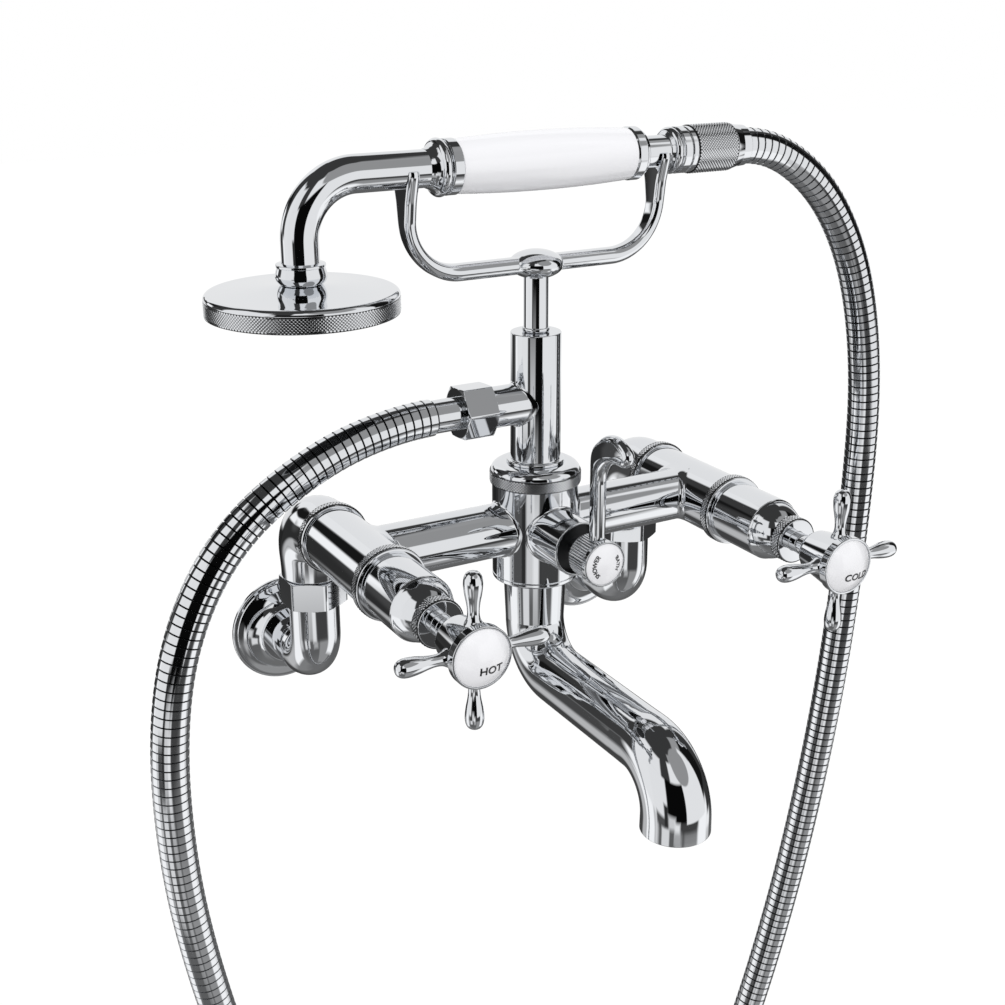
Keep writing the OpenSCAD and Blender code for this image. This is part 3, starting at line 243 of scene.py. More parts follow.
def vary_roughness(tree, shader, share, low, high):
    """Roughness that goes from low to high as the share goes from 0 to 1."""
    rough = add(tree, "ShaderNodeMapRange", {"Value": share, "To Min": low, "To Max": high})
    tree.links.new(rough.outputs["Result"], shader.inputs["Roughness"])


def darken(tree, shader, share):
    """Painted shade: colour that goes from bright plate to the dark shade colour as the share goes from 0 to
    1.
    """
    finishes = bpy.context.scene.mixer_finishes
    tones = {"Factor": share, "A": (*finishes.chrome, 1), "B": (*finishes.groove, 1)}
    colour = add(tree, "ShaderNodeMix", tones, data_type="RGBA")
    tree.links.new(colour.outputs["Result"], shader.inputs["Base Color"])


def chrome_plate():
    """Polished chrome plate: a cool, nearly perfect mirror, with faint wiped patches about 9 mm wide that
    soften it here and there."""
    material, tree, shader = new_material("Polished chrome plate", "chrome", {"Metallic": 1})
    vary_roughness(tree, shader, patches(tree, 0.009, 3.0), 0.012, 0.05)
    return material


def knurled_chrome():
    """Chrome plate over a rolled knurl: bright tips with dull cuts between them, darkened with painted
    shade where shade falls. The groove attribute is the share of painted shade: 1 at the bottom of a cut
    and 0 on a tip. The sheet in the centre body's cup has it at 1 all over."""
    material, tree, shader = new_material("Knurled chrome plate", None, {"Metallic": 1})
    cut = add(tree, "ShaderNodeAttribute", attribute_name="groove").outputs["Fac"]
    # Painted shade: the cuts turn to the dark shade colour, and duller
    dark = add(tree, "ShaderNodeMapRange", {"Value": cut, "From Min": 0.6, "From Max": 1.0, "To Max": 0.95})
    darken(tree, shader, dark.outputs["Result"])
    vary_roughness(tree, shader, dark.outputs["Result"], 0.07, 0.4)
    return material


def hose_metal():
    """Interlocked strip hose, chrome plated: mirror bands with folds where two turns of the strip meet,
    darkened with painted shade. The groove attribute is the share of painted shade: 1 in a fold and 0 on
    a band."""
    material, tree, shader = new_material("Chromed strip hose", None, {"Metallic": 1})
    fold = add(tree, "ShaderNodeAttribute", attribute_name="groove").outputs["Fac"]
    darken(tree, shader, fold)
    vary_roughness(tree, shader, fold, 0.06, 0.45)
    return material


def porcelain_glaze():
    """Glazed porcelain: a white body under a clear wet-looking glaze, with very slight ripples about 14 mm
    wide."""
    glaze = {"Roughness": 0.3, "IOR": 1.5, "Coat Weight": 0.6, "Coat Roughness": 0.03}
    material, tree, shader = new_material("Glazed porcelain", "porcelain", glaze)
    ripple = {"Height": patches(tree, 0.014, 1.0), "Strength": 0.03, "Distance": 0.002}
    bump = add(tree, "ShaderNodeBump", ripple).outputs["Normal"]
    tree.links.new(bump, shader.inputs["Normal"])
    tree.links.new(bump, shader.inputs["Coat Normal"])
    return material


def machined_brass():
    """Machined brass: warm metal with fine turning marks, drawn 0.5 mm apart so that they show."""
    material, tree, shader = new_material("Machined brass", "brass", {"Metallic": 1})
    place = add(tree, "ShaderNodeTexCoord").outputs["Object"]
    period, spacing = 0.314, 0.0005
    turns = {"Vector": place, "Scale": period / spacing}
    marks = add(tree, "ShaderNodeTexWave", turns, bands_direction="Y")
    vary_roughness(tree, shader, marks.outputs["Fac"], 0.22, 0.38)
    return material


def bright_steel():
    """Bright stainless steel: grey mirror with a fine grain about 0.8 mm wide."""
    material, tree, shader = new_material("Bright stainless steel", "steel", {"Metallic": 1})
    vary_roughness(tree, shader, patches(tree, 0.0008, 3.0), 0.14, 0.28)
    return material


def black_rubber():
    """Moulded nitrile rubber: matt black with a soft grain about 0.4 mm wide."""
    material, tree, shader = new_material("Black nitrile rubber", "rubber", {"Roughness": 0.7})
    grain = {"Height": patches(tree, 0.0004, 2.0), "Strength": 0.3, "Distance": 0.0001}
    tree.links.new(add(tree, "ShaderNodeBump", grain).outputs["Normal"], shader.inputs["Normal"])
    return material


def fired_black():
    """Fired ceramic ink: black under the glaze, so it shines as the white round it, with a faint uneven tone
    about 1 mm wide."""
    material, tree, shader = new_material("Fired black ink", "lettering", {})
    vary_roughness(tree, shader, patches(tree, 0.001, 2.0), 0.12, 0.22)
    return material


MATERIALS = {"chrome": chrome_plate, "knurl": knurled_chrome, "hose": hose_metal, "steel": bright_steel,
             "porcelain": porcelain_glaze, "brass": machined_brass, "rubber": black_rubber,
             "ink": fired_black}
made = {}


def finish_of(name):
    """The material of that finish, made once."""
    if name not in made:
        made[name] = MATERIALS[name]()
    return made[name]


def rounded(corners, fillet=0.4, step=ARC_STEP, share=0.45):
    """Outline with each corner (x, y) or (x, y, radius) turned to a circular arc that is tangent to both its
    sides and takes no more than a share of them. A point close to each end of an arc keeps the shading of
    the straight stretches straight."""
    points = [(*c[:2], c[2] if len(c) > 2 else fillet) for c in corners]
    out = [np.array(points[0][:2], float)]
    for before, corner, after in zip(points, points[1:], points[2:]):
        at = np.array(corner[:2], float)
        back, on = np.array(before[:2]) - at, np.array(after[:2]) - at
        room, back = np.linalg.norm(back), back / np.linalg.norm(back)
        room_on, on = np.linalg.norm(on), on / np.linalg.norm(on)
        half = np.arccos(np.clip(back @ on, -1, 1)) / 2
        turn = np.pi - 2 * half
        if corner[2] <= 0 or turn < 0.02:
            out.append(at)
            continue
        reach = min(corner[2] / np.tan(half), share * room, share * room_on)
        centre = at + (back + on) / np.linalg.norm(back + on) * reach / np.cos(half)
        arm = at + back * reach - centre
        side = np.sign(arm[1] * back[0] - arm[0] * back[1])
        a = side * np.linspace(0, turn, max(3, int(np.ceil(turn / step)) + 1))
        cos, sin = np.cos(a), np.sin(a)
        bow = centre + np.stack([arm[0] * cos - arm[1] * sin, arm[0] * sin + arm[1] * cos], 1)
        spare = min(0.1, 0.04 * room, (room - reach) / 2)
        spare_on = min(0.1, 0.04 * room_on, (room_on - reach) / 2)
        out += [at + back * (reach + spare), *bow, at + on * (reach + spare_on)]
    out.append(np.array(points[-1][:2], float))
    return np.array(out)


def stretches(points, steps):
    """Shares from 0 to 1 along every stretch between two neighbouring points, and the four points round that
    stretch. Each end is carried on by one point."""
    p = np.vstack([2 * points[0] - points[1], points, 2 * points[-1] - points[-2]])
    t = np.linspace(0, 1, steps, endpoint=False)[None, :, None]
    return t, *(p[k:len(p) - 3 + k, None] for k in range(4))


def smooth(points, steps):
    """Catmull-Rom curve through the points: cubic between neighbours, with each slope set by the points round
    it."""
    points = np.array(points, float)
    t, a, b, c, d = stretches(points, steps)
    curve = b + 0.5 * t * (c - a + t * (2 * a - 5 * b + 4 * c - d + t * (3 * (b - c) + d - a)))
    return np.vstack([curve.reshape(-1, 2), points[-1:]])


def spline(points, steps):
    """Uniform cubic B-spline along the points, which starts and stops at the end ones: each place is the sum
    of four of them with the weights (1-t)^3, 3t^3-6t^2+4, 1+3t+3t^2-3t^3 and t^3, over 6."""
    t, a, b, c, d = stretches(points, steps)
    curve = ((1 - t) ** 3 * a + (3 * t ** 3 - 6 * t ** 2 + 4) * b
             + (1 + 3 * t + 3 * t ** 2 - 3 * t ** 3) * c + t ** 3 * d) / 6
    return np.vstack([curve.reshape(-1, 2), points[-1:]])


def arc(centre, radius, start, end, steps):
    """Points of a circular arc about a centre, from one angle to another."""
    a = np.radians(np.linspace(start, end, steps))
    return np.array(centre) + radius * np.stack([np.cos(a), np.sin(a)], 1)


def cap(radius, edge, rise, steps=22):
    """Outline (radius, station) of a round cap: a ball of radius (r^2 + h^2) / 2h cut off at its edge."""
    ball = (radius ** 2 + rise ** 2) / (2 * rise)
    a = np.linspace(np.arcsin(radius / ball), 0.003, steps)
    return np.stack([ball * np.sin(a), edge + rise - ball * (1 - np.cos(a))], 1)


def refined(profile, step):
    """Profile with points added on its straight stretches, so that none is longer than the step."""
    p = np.asarray(profile, float)
    parts = [np.linspace(a, b, max(1, int(np.ceil(np.linalg.norm(b - a) / step))), endpoint=False)
             for a, b in zip(p, p[1:])]
    return np.vstack([*parts, p[-1:]])


def length_of(path):
    """Length of a path of points."""
    return np.linalg.norm(np.diff(path, axis=0), axis=1).sum()


def bent(corners, x=None):
    """Path of a tube bent round its corners, given as (out or across, up, bend radius): in the plane out of
    the wall at x, or without an x in the plane of the body axis."""
    flat = rounded(corners, step=0.03, share=0.98)
    if x is None:
        return np.stack([flat[:, 0], np.full(len(flat), -BODY_OUT), flat[:, 1]], 1)
    return np.stack([np.full(len(flat), x), -flat[:, 0], flat[:, 1]], 1)


def straight(x, y, z, axis, reach=400.0):
    """Straight path from a point along an axis; its stations are the distances from that point."""
    base = np.array((x, y, z), float)
    return np.array([base, base + reach * np.array(axis, float)])


def out_of_wall(x):
    """Axis out of the wall at valve height."""
    return straight(x, 0, VALVE_Z, (0, -1, 0))


def upright(x, out):
    """Upright axis; its stations are heights."""
    return straight(x, -out, 0, (0, 0, 1))


def numbered(rows, cols):
    """Numbers of the points of a grid whose rows are rings, and of their neighbours round the ring."""
    index = np.arange(rows * cols).reshape(rows, cols)
    return index, np.roll(index, -1, axis=1)


def closed_grid(points):
    """Points and faces of a grid whose rows are rings: quads between neighbours, and a flat cap on the first
    and last ring."""
    index, on = numbered(*points.shape[:2])
    quads = np.stack([index[:-1], on[:-1], on[1:], index[1:]], -1).reshape(-1, 4)
    return points.reshape(-1, 3), quads.tolist() + [index[0, ::-1].tolist(), index[-1].tolist()]


def rings(profile, path, across, turn):
    """Rings of a profile along a path: a profile point (r, s) gives base(s) + r cos(t) normal(s) + r sin(t)
    across, where normal is square to the path and to the direction across it. The radius may be an array
    over t."""
    path = np.asarray(path, float)
    lengths = np.r_[0, np.cumsum(np.linalg.norm(np.diff(path, axis=0), axis=1))]
    heading = np.gradient(path, lengths, axis=0)
    radius, station = profile
    base = np.stack([np.interp(station, lengths, path[:, k]) for k in range(3)], 1)
    heading = np.stack([np.interp(station, lengths, heading[:, k]) for k in range(3)], 1)
    heading /= np.linalg.norm(heading, axis=1, keepdims=True)
    across = np.array(across, float)
    normal = np.cross(across, heading)
    radius = radius if np.ndim(radius) == 2 else np.asarray(radius)[:, None]
    radius = np.broadcast_to(radius, (len(station), len(turn)))
    wheel = np.cos(turn)[None, :, None] * normal[:, None] + np.sin(turn)[None, :, None] * across
    return base[:, None] + radius[..., None] * wheel


def carried(profile, path, across=(1, 0, 0), sides=96):
    """Closed surface of a round profile (radius, station) carried along a path."""
    profile = np.asarray(profile, float)
    turn = np.linspace(0, 2 * np.pi, sides, endpoint=False)
    return closed_grid(rings((profile[:, 0], profile[:, 1]), path, across, turn))


def side_of(path):
    """A direction square to a straight path."""
    heading = np.abs(path[-1] - path[0])
    return np.eye(3)[int(np.argmin(heading + np.array([0.02, 0.01, 0])))]


def turned(corners, path, fillet=0.4, sides=96):
    """Turned piece: rounded outline (radius, station) spun about a straight path."""
    return carried(rounded(corners, fillet), path, side_of(path), sides)


def knurled(radius, low, high, path):
    """Diamond knurl: points on a wrapped chessboard stand on the outer radius and one tooth depth below it by
    turns, and each face is split along its low corners, so every high point tips a four-sided pyramid. Also
    gives the share of painted shade at each point: 1 at each low point and 0 on a tip."""
    sizes = bpy.context.scene.mixer_sizes
    pitch, depth = sizes.knurl_pitch / MM, sizes.knurl_depth / MM
    sides = 4 * round(np.pi * radius / pitch)
    rows = 2 * max(1, round((high - low) / pitch)) + 1
    i, j = np.meshgrid(np.arange(rows), np.arange(sides), indexing="ij")
    tall = ((i + j) % 2 == 1) & (i > 0) & (i < rows - 1)
    turn = np.linspace(0, 2 * np.pi, sides, endpoint=False)
    points = rings((radius - depth * ~tall, np.linspace(low, high, rows)), path, side_of(path), turn)
    index, on = numbered(rows, sides)
    a, b, c, d = index[:-1], on[:-1], on[1:], index[1:]
    even = ((i + j) % 2 == 0)[:-1, :, None]
    one = np.where(even, np.stack([a, b, c], -1), np.stack([a, b, d], -1))
    two = np.where(even, np.stack([a, c, d], -1), np.stack([b, c, d], -1))
    faces = np.concatenate([one.reshape(-1, 3), two.reshape(-1, 3)]).tolist()
    # The last array is the share of painted shade: 1 at the low points, 0 on the tips
    return points.reshape(-1, 3), faces + [index[0, ::-1].tolist(), index[-1].tolist()], 1.0 - tall.ravel()


def fluted(radius, low, high, path, count, depth):
    """Fluted drum: the radius falls by the depth times |sin(count t / 2)| to the power 0.8, which leaves
    round-bottomed flutes with narrow lands between them."""
    turn = np.linspace(0, 2 * np.pi, 10 * count, endpoint=False)
    land = depth * np.abs(np.sin(count * turn / 2)) ** 0.8
    station = np.array([low, low + 0.3, high - 0.3, high])
    fall = np.array([0.4, 0, 0, 0.4])[:, None]
    return closed_grid(rings((radius - land - fall, station), path, side_of(path), turn))


def hexagon(flats, low, high, path, across, bore):
    """Hexagon nut with turned ends: the radius is the lesser of the hexagon's, (flats / 2) / cos(angle from
    the middle of a flat), and that of a cone which starts at the flats on each end. A recess sinks into the
    low end."""
    turn = np.linspace(0, 2 * np.pi, 144, endpoint=False)
    hexagonal = flats / 2 / np.cos((turn + np.pi / 6) % (np.pi / 3) - np.pi / 6)
    slope = 0.25
    lip = (flats / 2) * (2 / np.sqrt(3) - 1) * slope
    fall = np.linspace(0, lip, 7)
    station = np.r_[low + 3, low, low, low + fall, high - fall[::-1], high]
    cone = flats / 2 - 0.2 + np.r_[fall, fall[::-1]] / slope
    radius = np.minimum(cone[:, None], hexagonal)
    plain = np.ones_like(turn)
    radius = np.vstack([bore * plain, bore * plain, (bore + 0.1) * plain, radius, (flats / 2 - 1) * plain])
    return closed_grid(rings((radius, station), path, across, turn))


def saddle(base, ahead, main, tube, body, fillet):
    """Fillet where a tube leaves a wider round body: its foot lies on the body, sqrt(R^2 - p^2) from the
    body's axis at a distance p beside it, and it rises in a quarter circle to the tube."""
    ahead, main = np.array(ahead, float), np.array(main, float)
    a = np.radians(np.linspace(0, 90, 9))
    out = np.r_[tube + fillet, tube + fillet * (1 - np.sin(a)), tube - 0.5][:, None]
    lift = np.r_[-0.6, fillet * (1 - np.cos(a)), fillet][:, None]
    turn = np.linspace(0, 2 * np.pi, 96, endpoint=False)
    beside = out * np.cos(turn)
    height = np.sqrt(body ** 2 - beside ** 2) + lift
    return closed_grid(np.array(base) + height[..., None] * ahead + beside[..., None] * np.cross(main, ahead)
                       + (out * np.sin(turn))[..., None] * main)


def plate(outline, half, edge, x, out, height):
    """Flat plate with rounded edges: the outline moves inwards by e (1 - cos a) while the plate's face moves
    out by e sin a, with its own edge radius e at each point. The outline is (out of the wall, up)."""
    outline = np.asarray(outline, float)
    ahead = np.roll(outline, -1, axis=0) - np.roll(outline, 1, axis=0)
    ahead /= np.linalg.norm(ahead, axis=1, keepdims=True)
    inward = np.stack([ahead[:, 1], -ahead[:, 0]], 1)
    a = np.radians(np.r_[-90, -70, -50, -30, -12, 0, 0, 12, 30, 50, 70, 90])[:, None]
    face = np.repeat([-1, 1], len(a) // 2)[:, None]
    lift = face * (half - edge) + edge * np.sin(a)
    flat = outline[None] + inward[None] * (edge * (1 - np.cos(a)))[..., None]
    return closed_grid(np.stack([x + lift, -out - flat[..., 0], height + flat[..., 1]], -1))


def piece(name, shells, finishes, body, nodes):
    """One finished object from closed shells with a finish each. It stands for CAD nodes and moves with their
    body. A shell is turned round where its signed volume, the sum of v0 . (v1 x v2) / 6 over a fan of each
    face, is negative. Where a shell gives a share of painted shade for its points, 1 down in a groove, the
    object keeps it as the groove attribute."""
    verts, faces, slots, grooves, start = [], [], [], [], 0
    names = list(dict.fromkeys(finishes))
    for (points, polygons, *depth), finish in zip(shells, finishes):
        centred = points - points.mean(0)
        corners = np.array([(f[0], f[k], f[k + 1]) for f in polygons for k in range(1, len(f) - 1)])
        a, b, c = (centred[corners[:, k]] for k in range(3))
        if np.einsum("ij,ij->", a, np.cross(b, c)) < 0:
            polygons = [f[::-1] for f in polygons]
        verts.append(points)
        grooves.append(depth[0] if depth else np.zeros(len(points)))
        faces += [[k + start for k in f] for f in polygons]
        slots += [names.index(finish)] * len(polygons)
        start += len(points)
    mesh = bpy.data.meshes.new(name)
    mesh.from_pydata(np.vstack(verts) * MM, [], faces)
    for finish in names:
        mesh.materials.append(finish_of(finish))
    mesh.polygons.foreach_set("material_index", slots)
    mesh.polygons.foreach_set("use_smooth", [names[k] != "knurl" for k in slots])
    mesh.set_sharp_from_angle(angle=SHARP_ANGLE)
    # Painted shade: the shares of the shells, kept as an attribute that darkens the knurl and hose finishes
    groove = np.concatenate(grooves).astype(np.float32)
    if groove.any():
        mesh.attributes.new("groove", "FLOAT", "POINT").data.foreach_set("value", groove)
    mesh.update()
    obj = bpy.data.objects.new(name, mesh)
    bpy.context.scene.collection.objects.link(obj)
    if body:
        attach(obj, body)
    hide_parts(*nodes)
    return obj


def chrome_piece(node, shells, body="mixer", finishes=None):
    """Chrome piece in place of the CAD node of that name."""
    return piece(node + "_finished", shells, finishes or ["chrome"] * len(shells), body, [node])


def knurled_piece(node, plain, band, path, body="mixer"):
    """Chrome piece with a knurled band (radius, from, to) round it, in place of the CAD node of that name."""
    return chrome_piece(node, [plain, knurled(*band, path)], body, ["chrome", "knurl"])


def pressed_words(lettering, radius, rise, edge, x):
    """Shells of words on a domed index: letters from the built-in type, laid flat at a place or bent round a
    circle clockwise with their tops outwards, then set a little above the ball of the dome, edge + rise - R +
    sqrt(R^2 - r^2)."""
    ball = (radius ** 2 + rise ** 2) / (2 * rise)
    shells, lift = [], 0.14
    for text, size, (left, up), bend in lettering:
        curve = bpy.data.curves.new("word", "FONT")
        curve.body, curve.size, curve.extrude, curve.offset = text, size, 0.03, 0.02 * size
        curve.align_x, curve.align_y = "CENTER", "CENTER"
        curve.resolution_u = 3
        holder = bpy.data.objects.new("word", curve)
        bpy.context.scene.collection.objects.link(holder)
        mesh = bpy.data.meshes.new_from_object(holder.evaluated_get(bpy.context.evaluated_depsgraph_get()))
        flat = np.array([v.co for v in mesh.vertices])
        faces = [list(p.vertices) for p in mesh.polygons]
        bpy.data.objects.remove(holder)
        bpy.data.curves.remove(curve)
        bpy.data.meshes.remove(mesh)
        across, high = flat[:, 0] + left, flat[:, 1] + up
        if bend is not None:
            ring, middle = bend
            turn = np.radians(middle) - flat[:, 0] / ring
            across, high = (ring + flat[:, 1]) * np.cos(turn), (ring + flat[:, 1]) * np.sin(turn)
        out = edge + rise - ball + np.sqrt(ball ** 2 - across ** 2 - high ** 2) + flat[:, 2] + lift
        shells.append((np.stack([x + across, -out, VALVE_Z + high], 1), faces))
    return shells


def porcelain_index(node, foot, radius, rise, edge, x, lettering, body):
    """Porcelain index in place of its CAD node: a glazed cap on its foot, with words in fired ink."""
    glaze = carried(np.vstack([foot, cap(radius, edge, rise)]), out_of_wall(x))
    words = pressed_words(lettering, radius, rise, edge, x)
    finishes = ["porcelain"] + ["ink"] * len(words)
    return piece(node + "_finished", [glaze, *words], finishes, body, [node])


class MIXER_OT_camera(bpy.types.Operator):
    """Makes the camera of the photograph"""
    bl_idname = "mixer.camera"
    bl_label = "Camera"

    def execute(self, context):
        azimuth, elevation, roll = np.radians(CAMERA_TURN)
        level = np.cos(elevation)
        back = np.array([np.sin(azimuth) * level, -np.cos(azimuth) * level, np.sin(elevation)])
        right = np.array([np.cos(azimuth), np.sin(azimuth), 0])
        up = np.cross(back, right)
        right, up = right * np.cos(roll) + up * np.sin(roll), up * np.cos(roll) - right * np.sin(roll)
        data = bpy.data.cameras.new("Photograph")
        data.lens = CAMERA_LENS
        data.sensor_width = 36
        data.clip_start, data.clip_end = 0.01, 50
        camera = bpy.data.objects.new("Photograph", data)
        context.scene.collection.objects.link(camera)
        matrix = np.eye(4)
        matrix[:3, :3] = np.stack([right, up, back], 1)
        matrix[:3, 3] = np.array(CAMERA_PLACE) * MM
        camera.matrix_world = Matrix(matrix.tolist())
        context.scene.camera = camera
        return {"FINISHED"}


class MIXER_OT_hose(bpy.types.Operator):
    """Makes the ribbed hose from the tee to the handset"""
    bl_idname = "mixer.hose"
    bl_label = "Hose"

    def execute(self, context):
        """The radius along the route repeats with the rib pitch: a slightly coned band and a narrow fold."""
        sizes = context.scene.mixer_sizes
        flat = spline(HOSE_ROUTE, 12)
        path = np.stack([flat[:, 0], np.full(len(flat), -BODY_OUT * MM), flat[:, 1]], 1)
        length = length_of(path)
        crest, plain, sleeve = 8.25, 12.0, 7.4
        ribs = round((length / MM - plain) / (sizes.rib_pitch / MM))
        pitch = (length / MM - plain) / ribs
        deep = sizes.rib_depth / MM
        share = np.array([0.0, 0.06, 0.11, 0.5, 0.92, 0.96])
        fall = np.array([1.0, 0.7, 0.1, 0.05, 0.0, 0.5])
        # Painted shade in each fold: the share of the dark shade colour at each station of a rib
        fold = np.array([1.0, 0.9, 0.0, 0.0, 0.0, 0.8])
        station = (plain + pitch * (np.arange(ribs)[:, None] + share)).ravel()
        tail = [(sleeve - 1, 0), (sleeve, 0.2), (sleeve, plain - 0.6), (sleeve - 0.5, plain - 0.1)]
        bands = np.stack([np.tile(crest - deep * fall, ribs), station], 1)
        profile = np.vstack([tail, bands, [(crest - deep, length / MM)]])
        groove = np.r_[0, 0, 0, 1, np.tile(fold, ribs), 1]
        sides = 24
        shell = (*carried(profile, path / MM, (0, 1, 0), sides), np.repeat(groove, sides))
        hose = piece("hose_finished", [shell], ["hose"], None, ["hose"])
        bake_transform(hose)
        return {"FINISHED"}


class MIXER_OT_wall_unions(bpy.types.Operator):
    """Makes the wall flanges, the wall elbows and the union nuts"""
    bl_idname = "mixer.wall_unions"
    bl_label = "Wall unions"

    def execute(self, context):
        bell = smooth([(24.9, 2.7), (21.4, 3.7), (18.2, 5.6), (16.0, 7.6), (15.05, 9.2)], 6)
        foot = rounded([(11.0, 0), (27.3, 0, 0.3), (27.3, 2.2, 1.0), (25.2, 2.2, 0.2), tuple(bell[0]) + (0,)])
        rim = rounded([tuple(bell[-1]), (15.05, 11, 0.6), (11.0, 11)])
        for side, x in SIDES:
            flange = carried(np.vstack([foot, bell[1:], rim[1:]]), straight(x, 0, 0, (0, -1, 0)))
            chrome_piece(f"{side}_wall_flange", [flange])

            path = bent([(0, 0), (LEG_OUT, 0, 16), (LEG_OUT, 39)], x)
            end = length_of(path)
            pipe = rounded([(9.3, 14), (9.3, 0, 0.3), (12.1, 0, 0.3), (12.1, end, 0.3), (9, end)])
            chrome_piece(f"{side}_wall_elbow", [carried(refined(pipe, TUBE_STEP), path)])

            line = upright(x, LEG_OUT)
            nut = hexagon(flats=28.4, low=32, high=46, path=line, across=(0, 1, 0), bore=12.6)
            chrome_piece(f"{side}_union_nut", [nut])
        return {"FINISHED"}


class MIXER_OT_valves(bpy.types.Operator):
    """Makes the inlet elbows, the valve bodies with their knurled rings, the bonnets and the cross tubes"""
    bl_idname = "mixer.valves"
    bl_label = "Valves"

    def execute(self, context):
        """The bonnet's dome is the part of a circle from 20 to 60 degrees, stretched between drum and neck:
        its radius goes with cos a and its station with sin a. The inlet elbow swells by up to 1 mm, with
        sin^2 of the way along its bend."""
        a = np.radians(np.linspace(20, 60, 13))
        rise, fall = np.sin(a) - np.sin(a[0]), np.cos(a) - np.cos(a[-1])
        dome = np.stack([8 + 6 * fall / fall[0], 165 + 11 * rise / rise[-1]], 1)
        drum = rounded([(12, 137), (14.4, 137, 0.3), (14.4, 164.6, 0.15), (14, 165)])
        bonnet = np.vstack([drum, dome[1:], [(8, 179), (6, 179)]])
        for side, x in SIDES:
            line = out_of_wall(x)
            path = bent([(LEG_OUT, 41), (LEG_OUT, VALVE_Z, 16), (71.4, VALVE_Z)], x)
            end = length_of(path)
            pipe = rounded([(12.6, 0), (12.6, 5.5), (14.6, 5.5, 0.5), (14.6, end, 0.5), (9, end)])
            pipe = refined(pipe, TUBE_STEP)
            way = np.clip((pipe[:, 1] - 6) / (end - 8), 0, 1)
            pipe[:, 0] += np.where(pipe[:, 0] > 14.5, np.sin(np.pi * way) ** 2, 0)
            chrome_piece(f"{side}_inlet_elbow", [carried(pipe, path)])

            ring = turned([(12, 71.4), (15.9, 71.4, 0.4), (16.3, 72.0, 0.2), (16.3, 75.3, 0.2),
                           (15.8, 76, 0.4), (12, 76)], line)
            knurled_piece(f"{side}_rear_ring", ring, (16.8, 71.8, 75.4), line)
            body = turned([(12, 76), (VALVE_R, 76, 0.3), (VALVE_R, 131.3, 0.3), (12, 131.3)], line)
            chrome_piece(f"{side}_valve_body", [body])
            ring = turned([(12, 131.3), (15.8, 131.3, 0.4), (16.3, 132, 0.2), (16.3, 135.6, 0.1),
                           (16.0, 135.8, 0.1), (16.5, 136.1, 0.4), (16.3, 136.8, 0.4), (15.6, 137, 0.3),
                           (12, 137)], line)
            knurled_piece(f"{side}_front_ring", ring, (16.8, 131.6, 135.7), line)
            chrome_piece(f"{side}_bonnet", [carried(bonnet, line)])
            collar = turned([(6, 176), (9.8, 176, 0.3), (10.25, 176.6, 0.2), (10.25, 181.0, 0.2),
                             (9.9, 181.5, 0.3), (4.6, 181.5, 0.3), (4.6, 185.7, 0.3), (3.9, 185.7, 0.1),
                             (3.9, 180.5)], line)
            knurled_piece(f"{side}_collar", collar, (10.7, 176.3, 181.2), line)

            ahead = np.array([np.sign(x), 0, 0])
            tube = turned([(TUBE_R, 0), (TUBE_R, INLET_X)], straight(0, -BODY_OUT, VALVE_Z, ahead))
            inner = saddle((0, -BODY_OUT, VALVE_Z), ahead, (0, 0, 1), TUBE_R, BODY_R, fillet=1.3)
            outer = saddle((x, -BODY_OUT, VALVE_Z), -ahead, (0, 1, 0), TUBE_R, VALVE_R, fillet=2.4)
            chrome_piece(f"{side}_cross_tube", [tube, inner, outer])
        return {"FINISHED"}


class MIXER_OT_handles(bpy.types.Operator):
    """Makes the cross-head handles and their porcelain indices"""
    bl_idname = "mixer.handles"
    bl_label = "Handles"

    def execute(self, context):
        size = context.scene.mixer_sizes.word_height / MM
        arms_out = 208.9
        spoke = smooth([(3.9, 10.2), (3.6, 11.9), (2.75, 13.6), (2.4, 15.6), (2.45, 18.0), (2.8, 20.6),
                        (3.35, 23.4), (3.72, 26.2), (3.8, 28.6), (3.45, 30.8), (2.5, 32.3), (1.2, 32.9),
                        (0.05, 33.0)], 4)
        for side, x in SIDES:
            body = f"{side}_tap"
            hub = turned([(3.8, 186.2), (3.8, 186), (4.8, 186, 0.3), (4.8, 193.4, 0.3), (8.5, 193.4, 0.8),
                          (9.6, 195.2, 1.5), (12.2, 211.6, 0.6), (12.9, 212.0, 0.3), (12.9, 216, 0.5),
                          (11.95, 216, 0.3), (11.95, 213.3)], out_of_wall(x), sides=128)
            arms = [carried(spoke, straight(x, -arms_out, VALVE_Z, axis, 40), (0, 1, 0), 40)
                    for axis in ((1, 0, 0), (-1, 0, 0), (0, 0, 1), (0, 0, -1))]
            chrome_piece(f"{side}_handle", [hub, *arms], body)
            words = [(side.upper(), size, (1.6, -3.6), None)]
            porcelain_index(f"{side}_index", [(10.5, 213.2), (11.9, 213.4)], radius=11.9, rise=5.0,
                            edge=215.6, x=x, lettering=words, body=body)
        return {"FINISHED"}


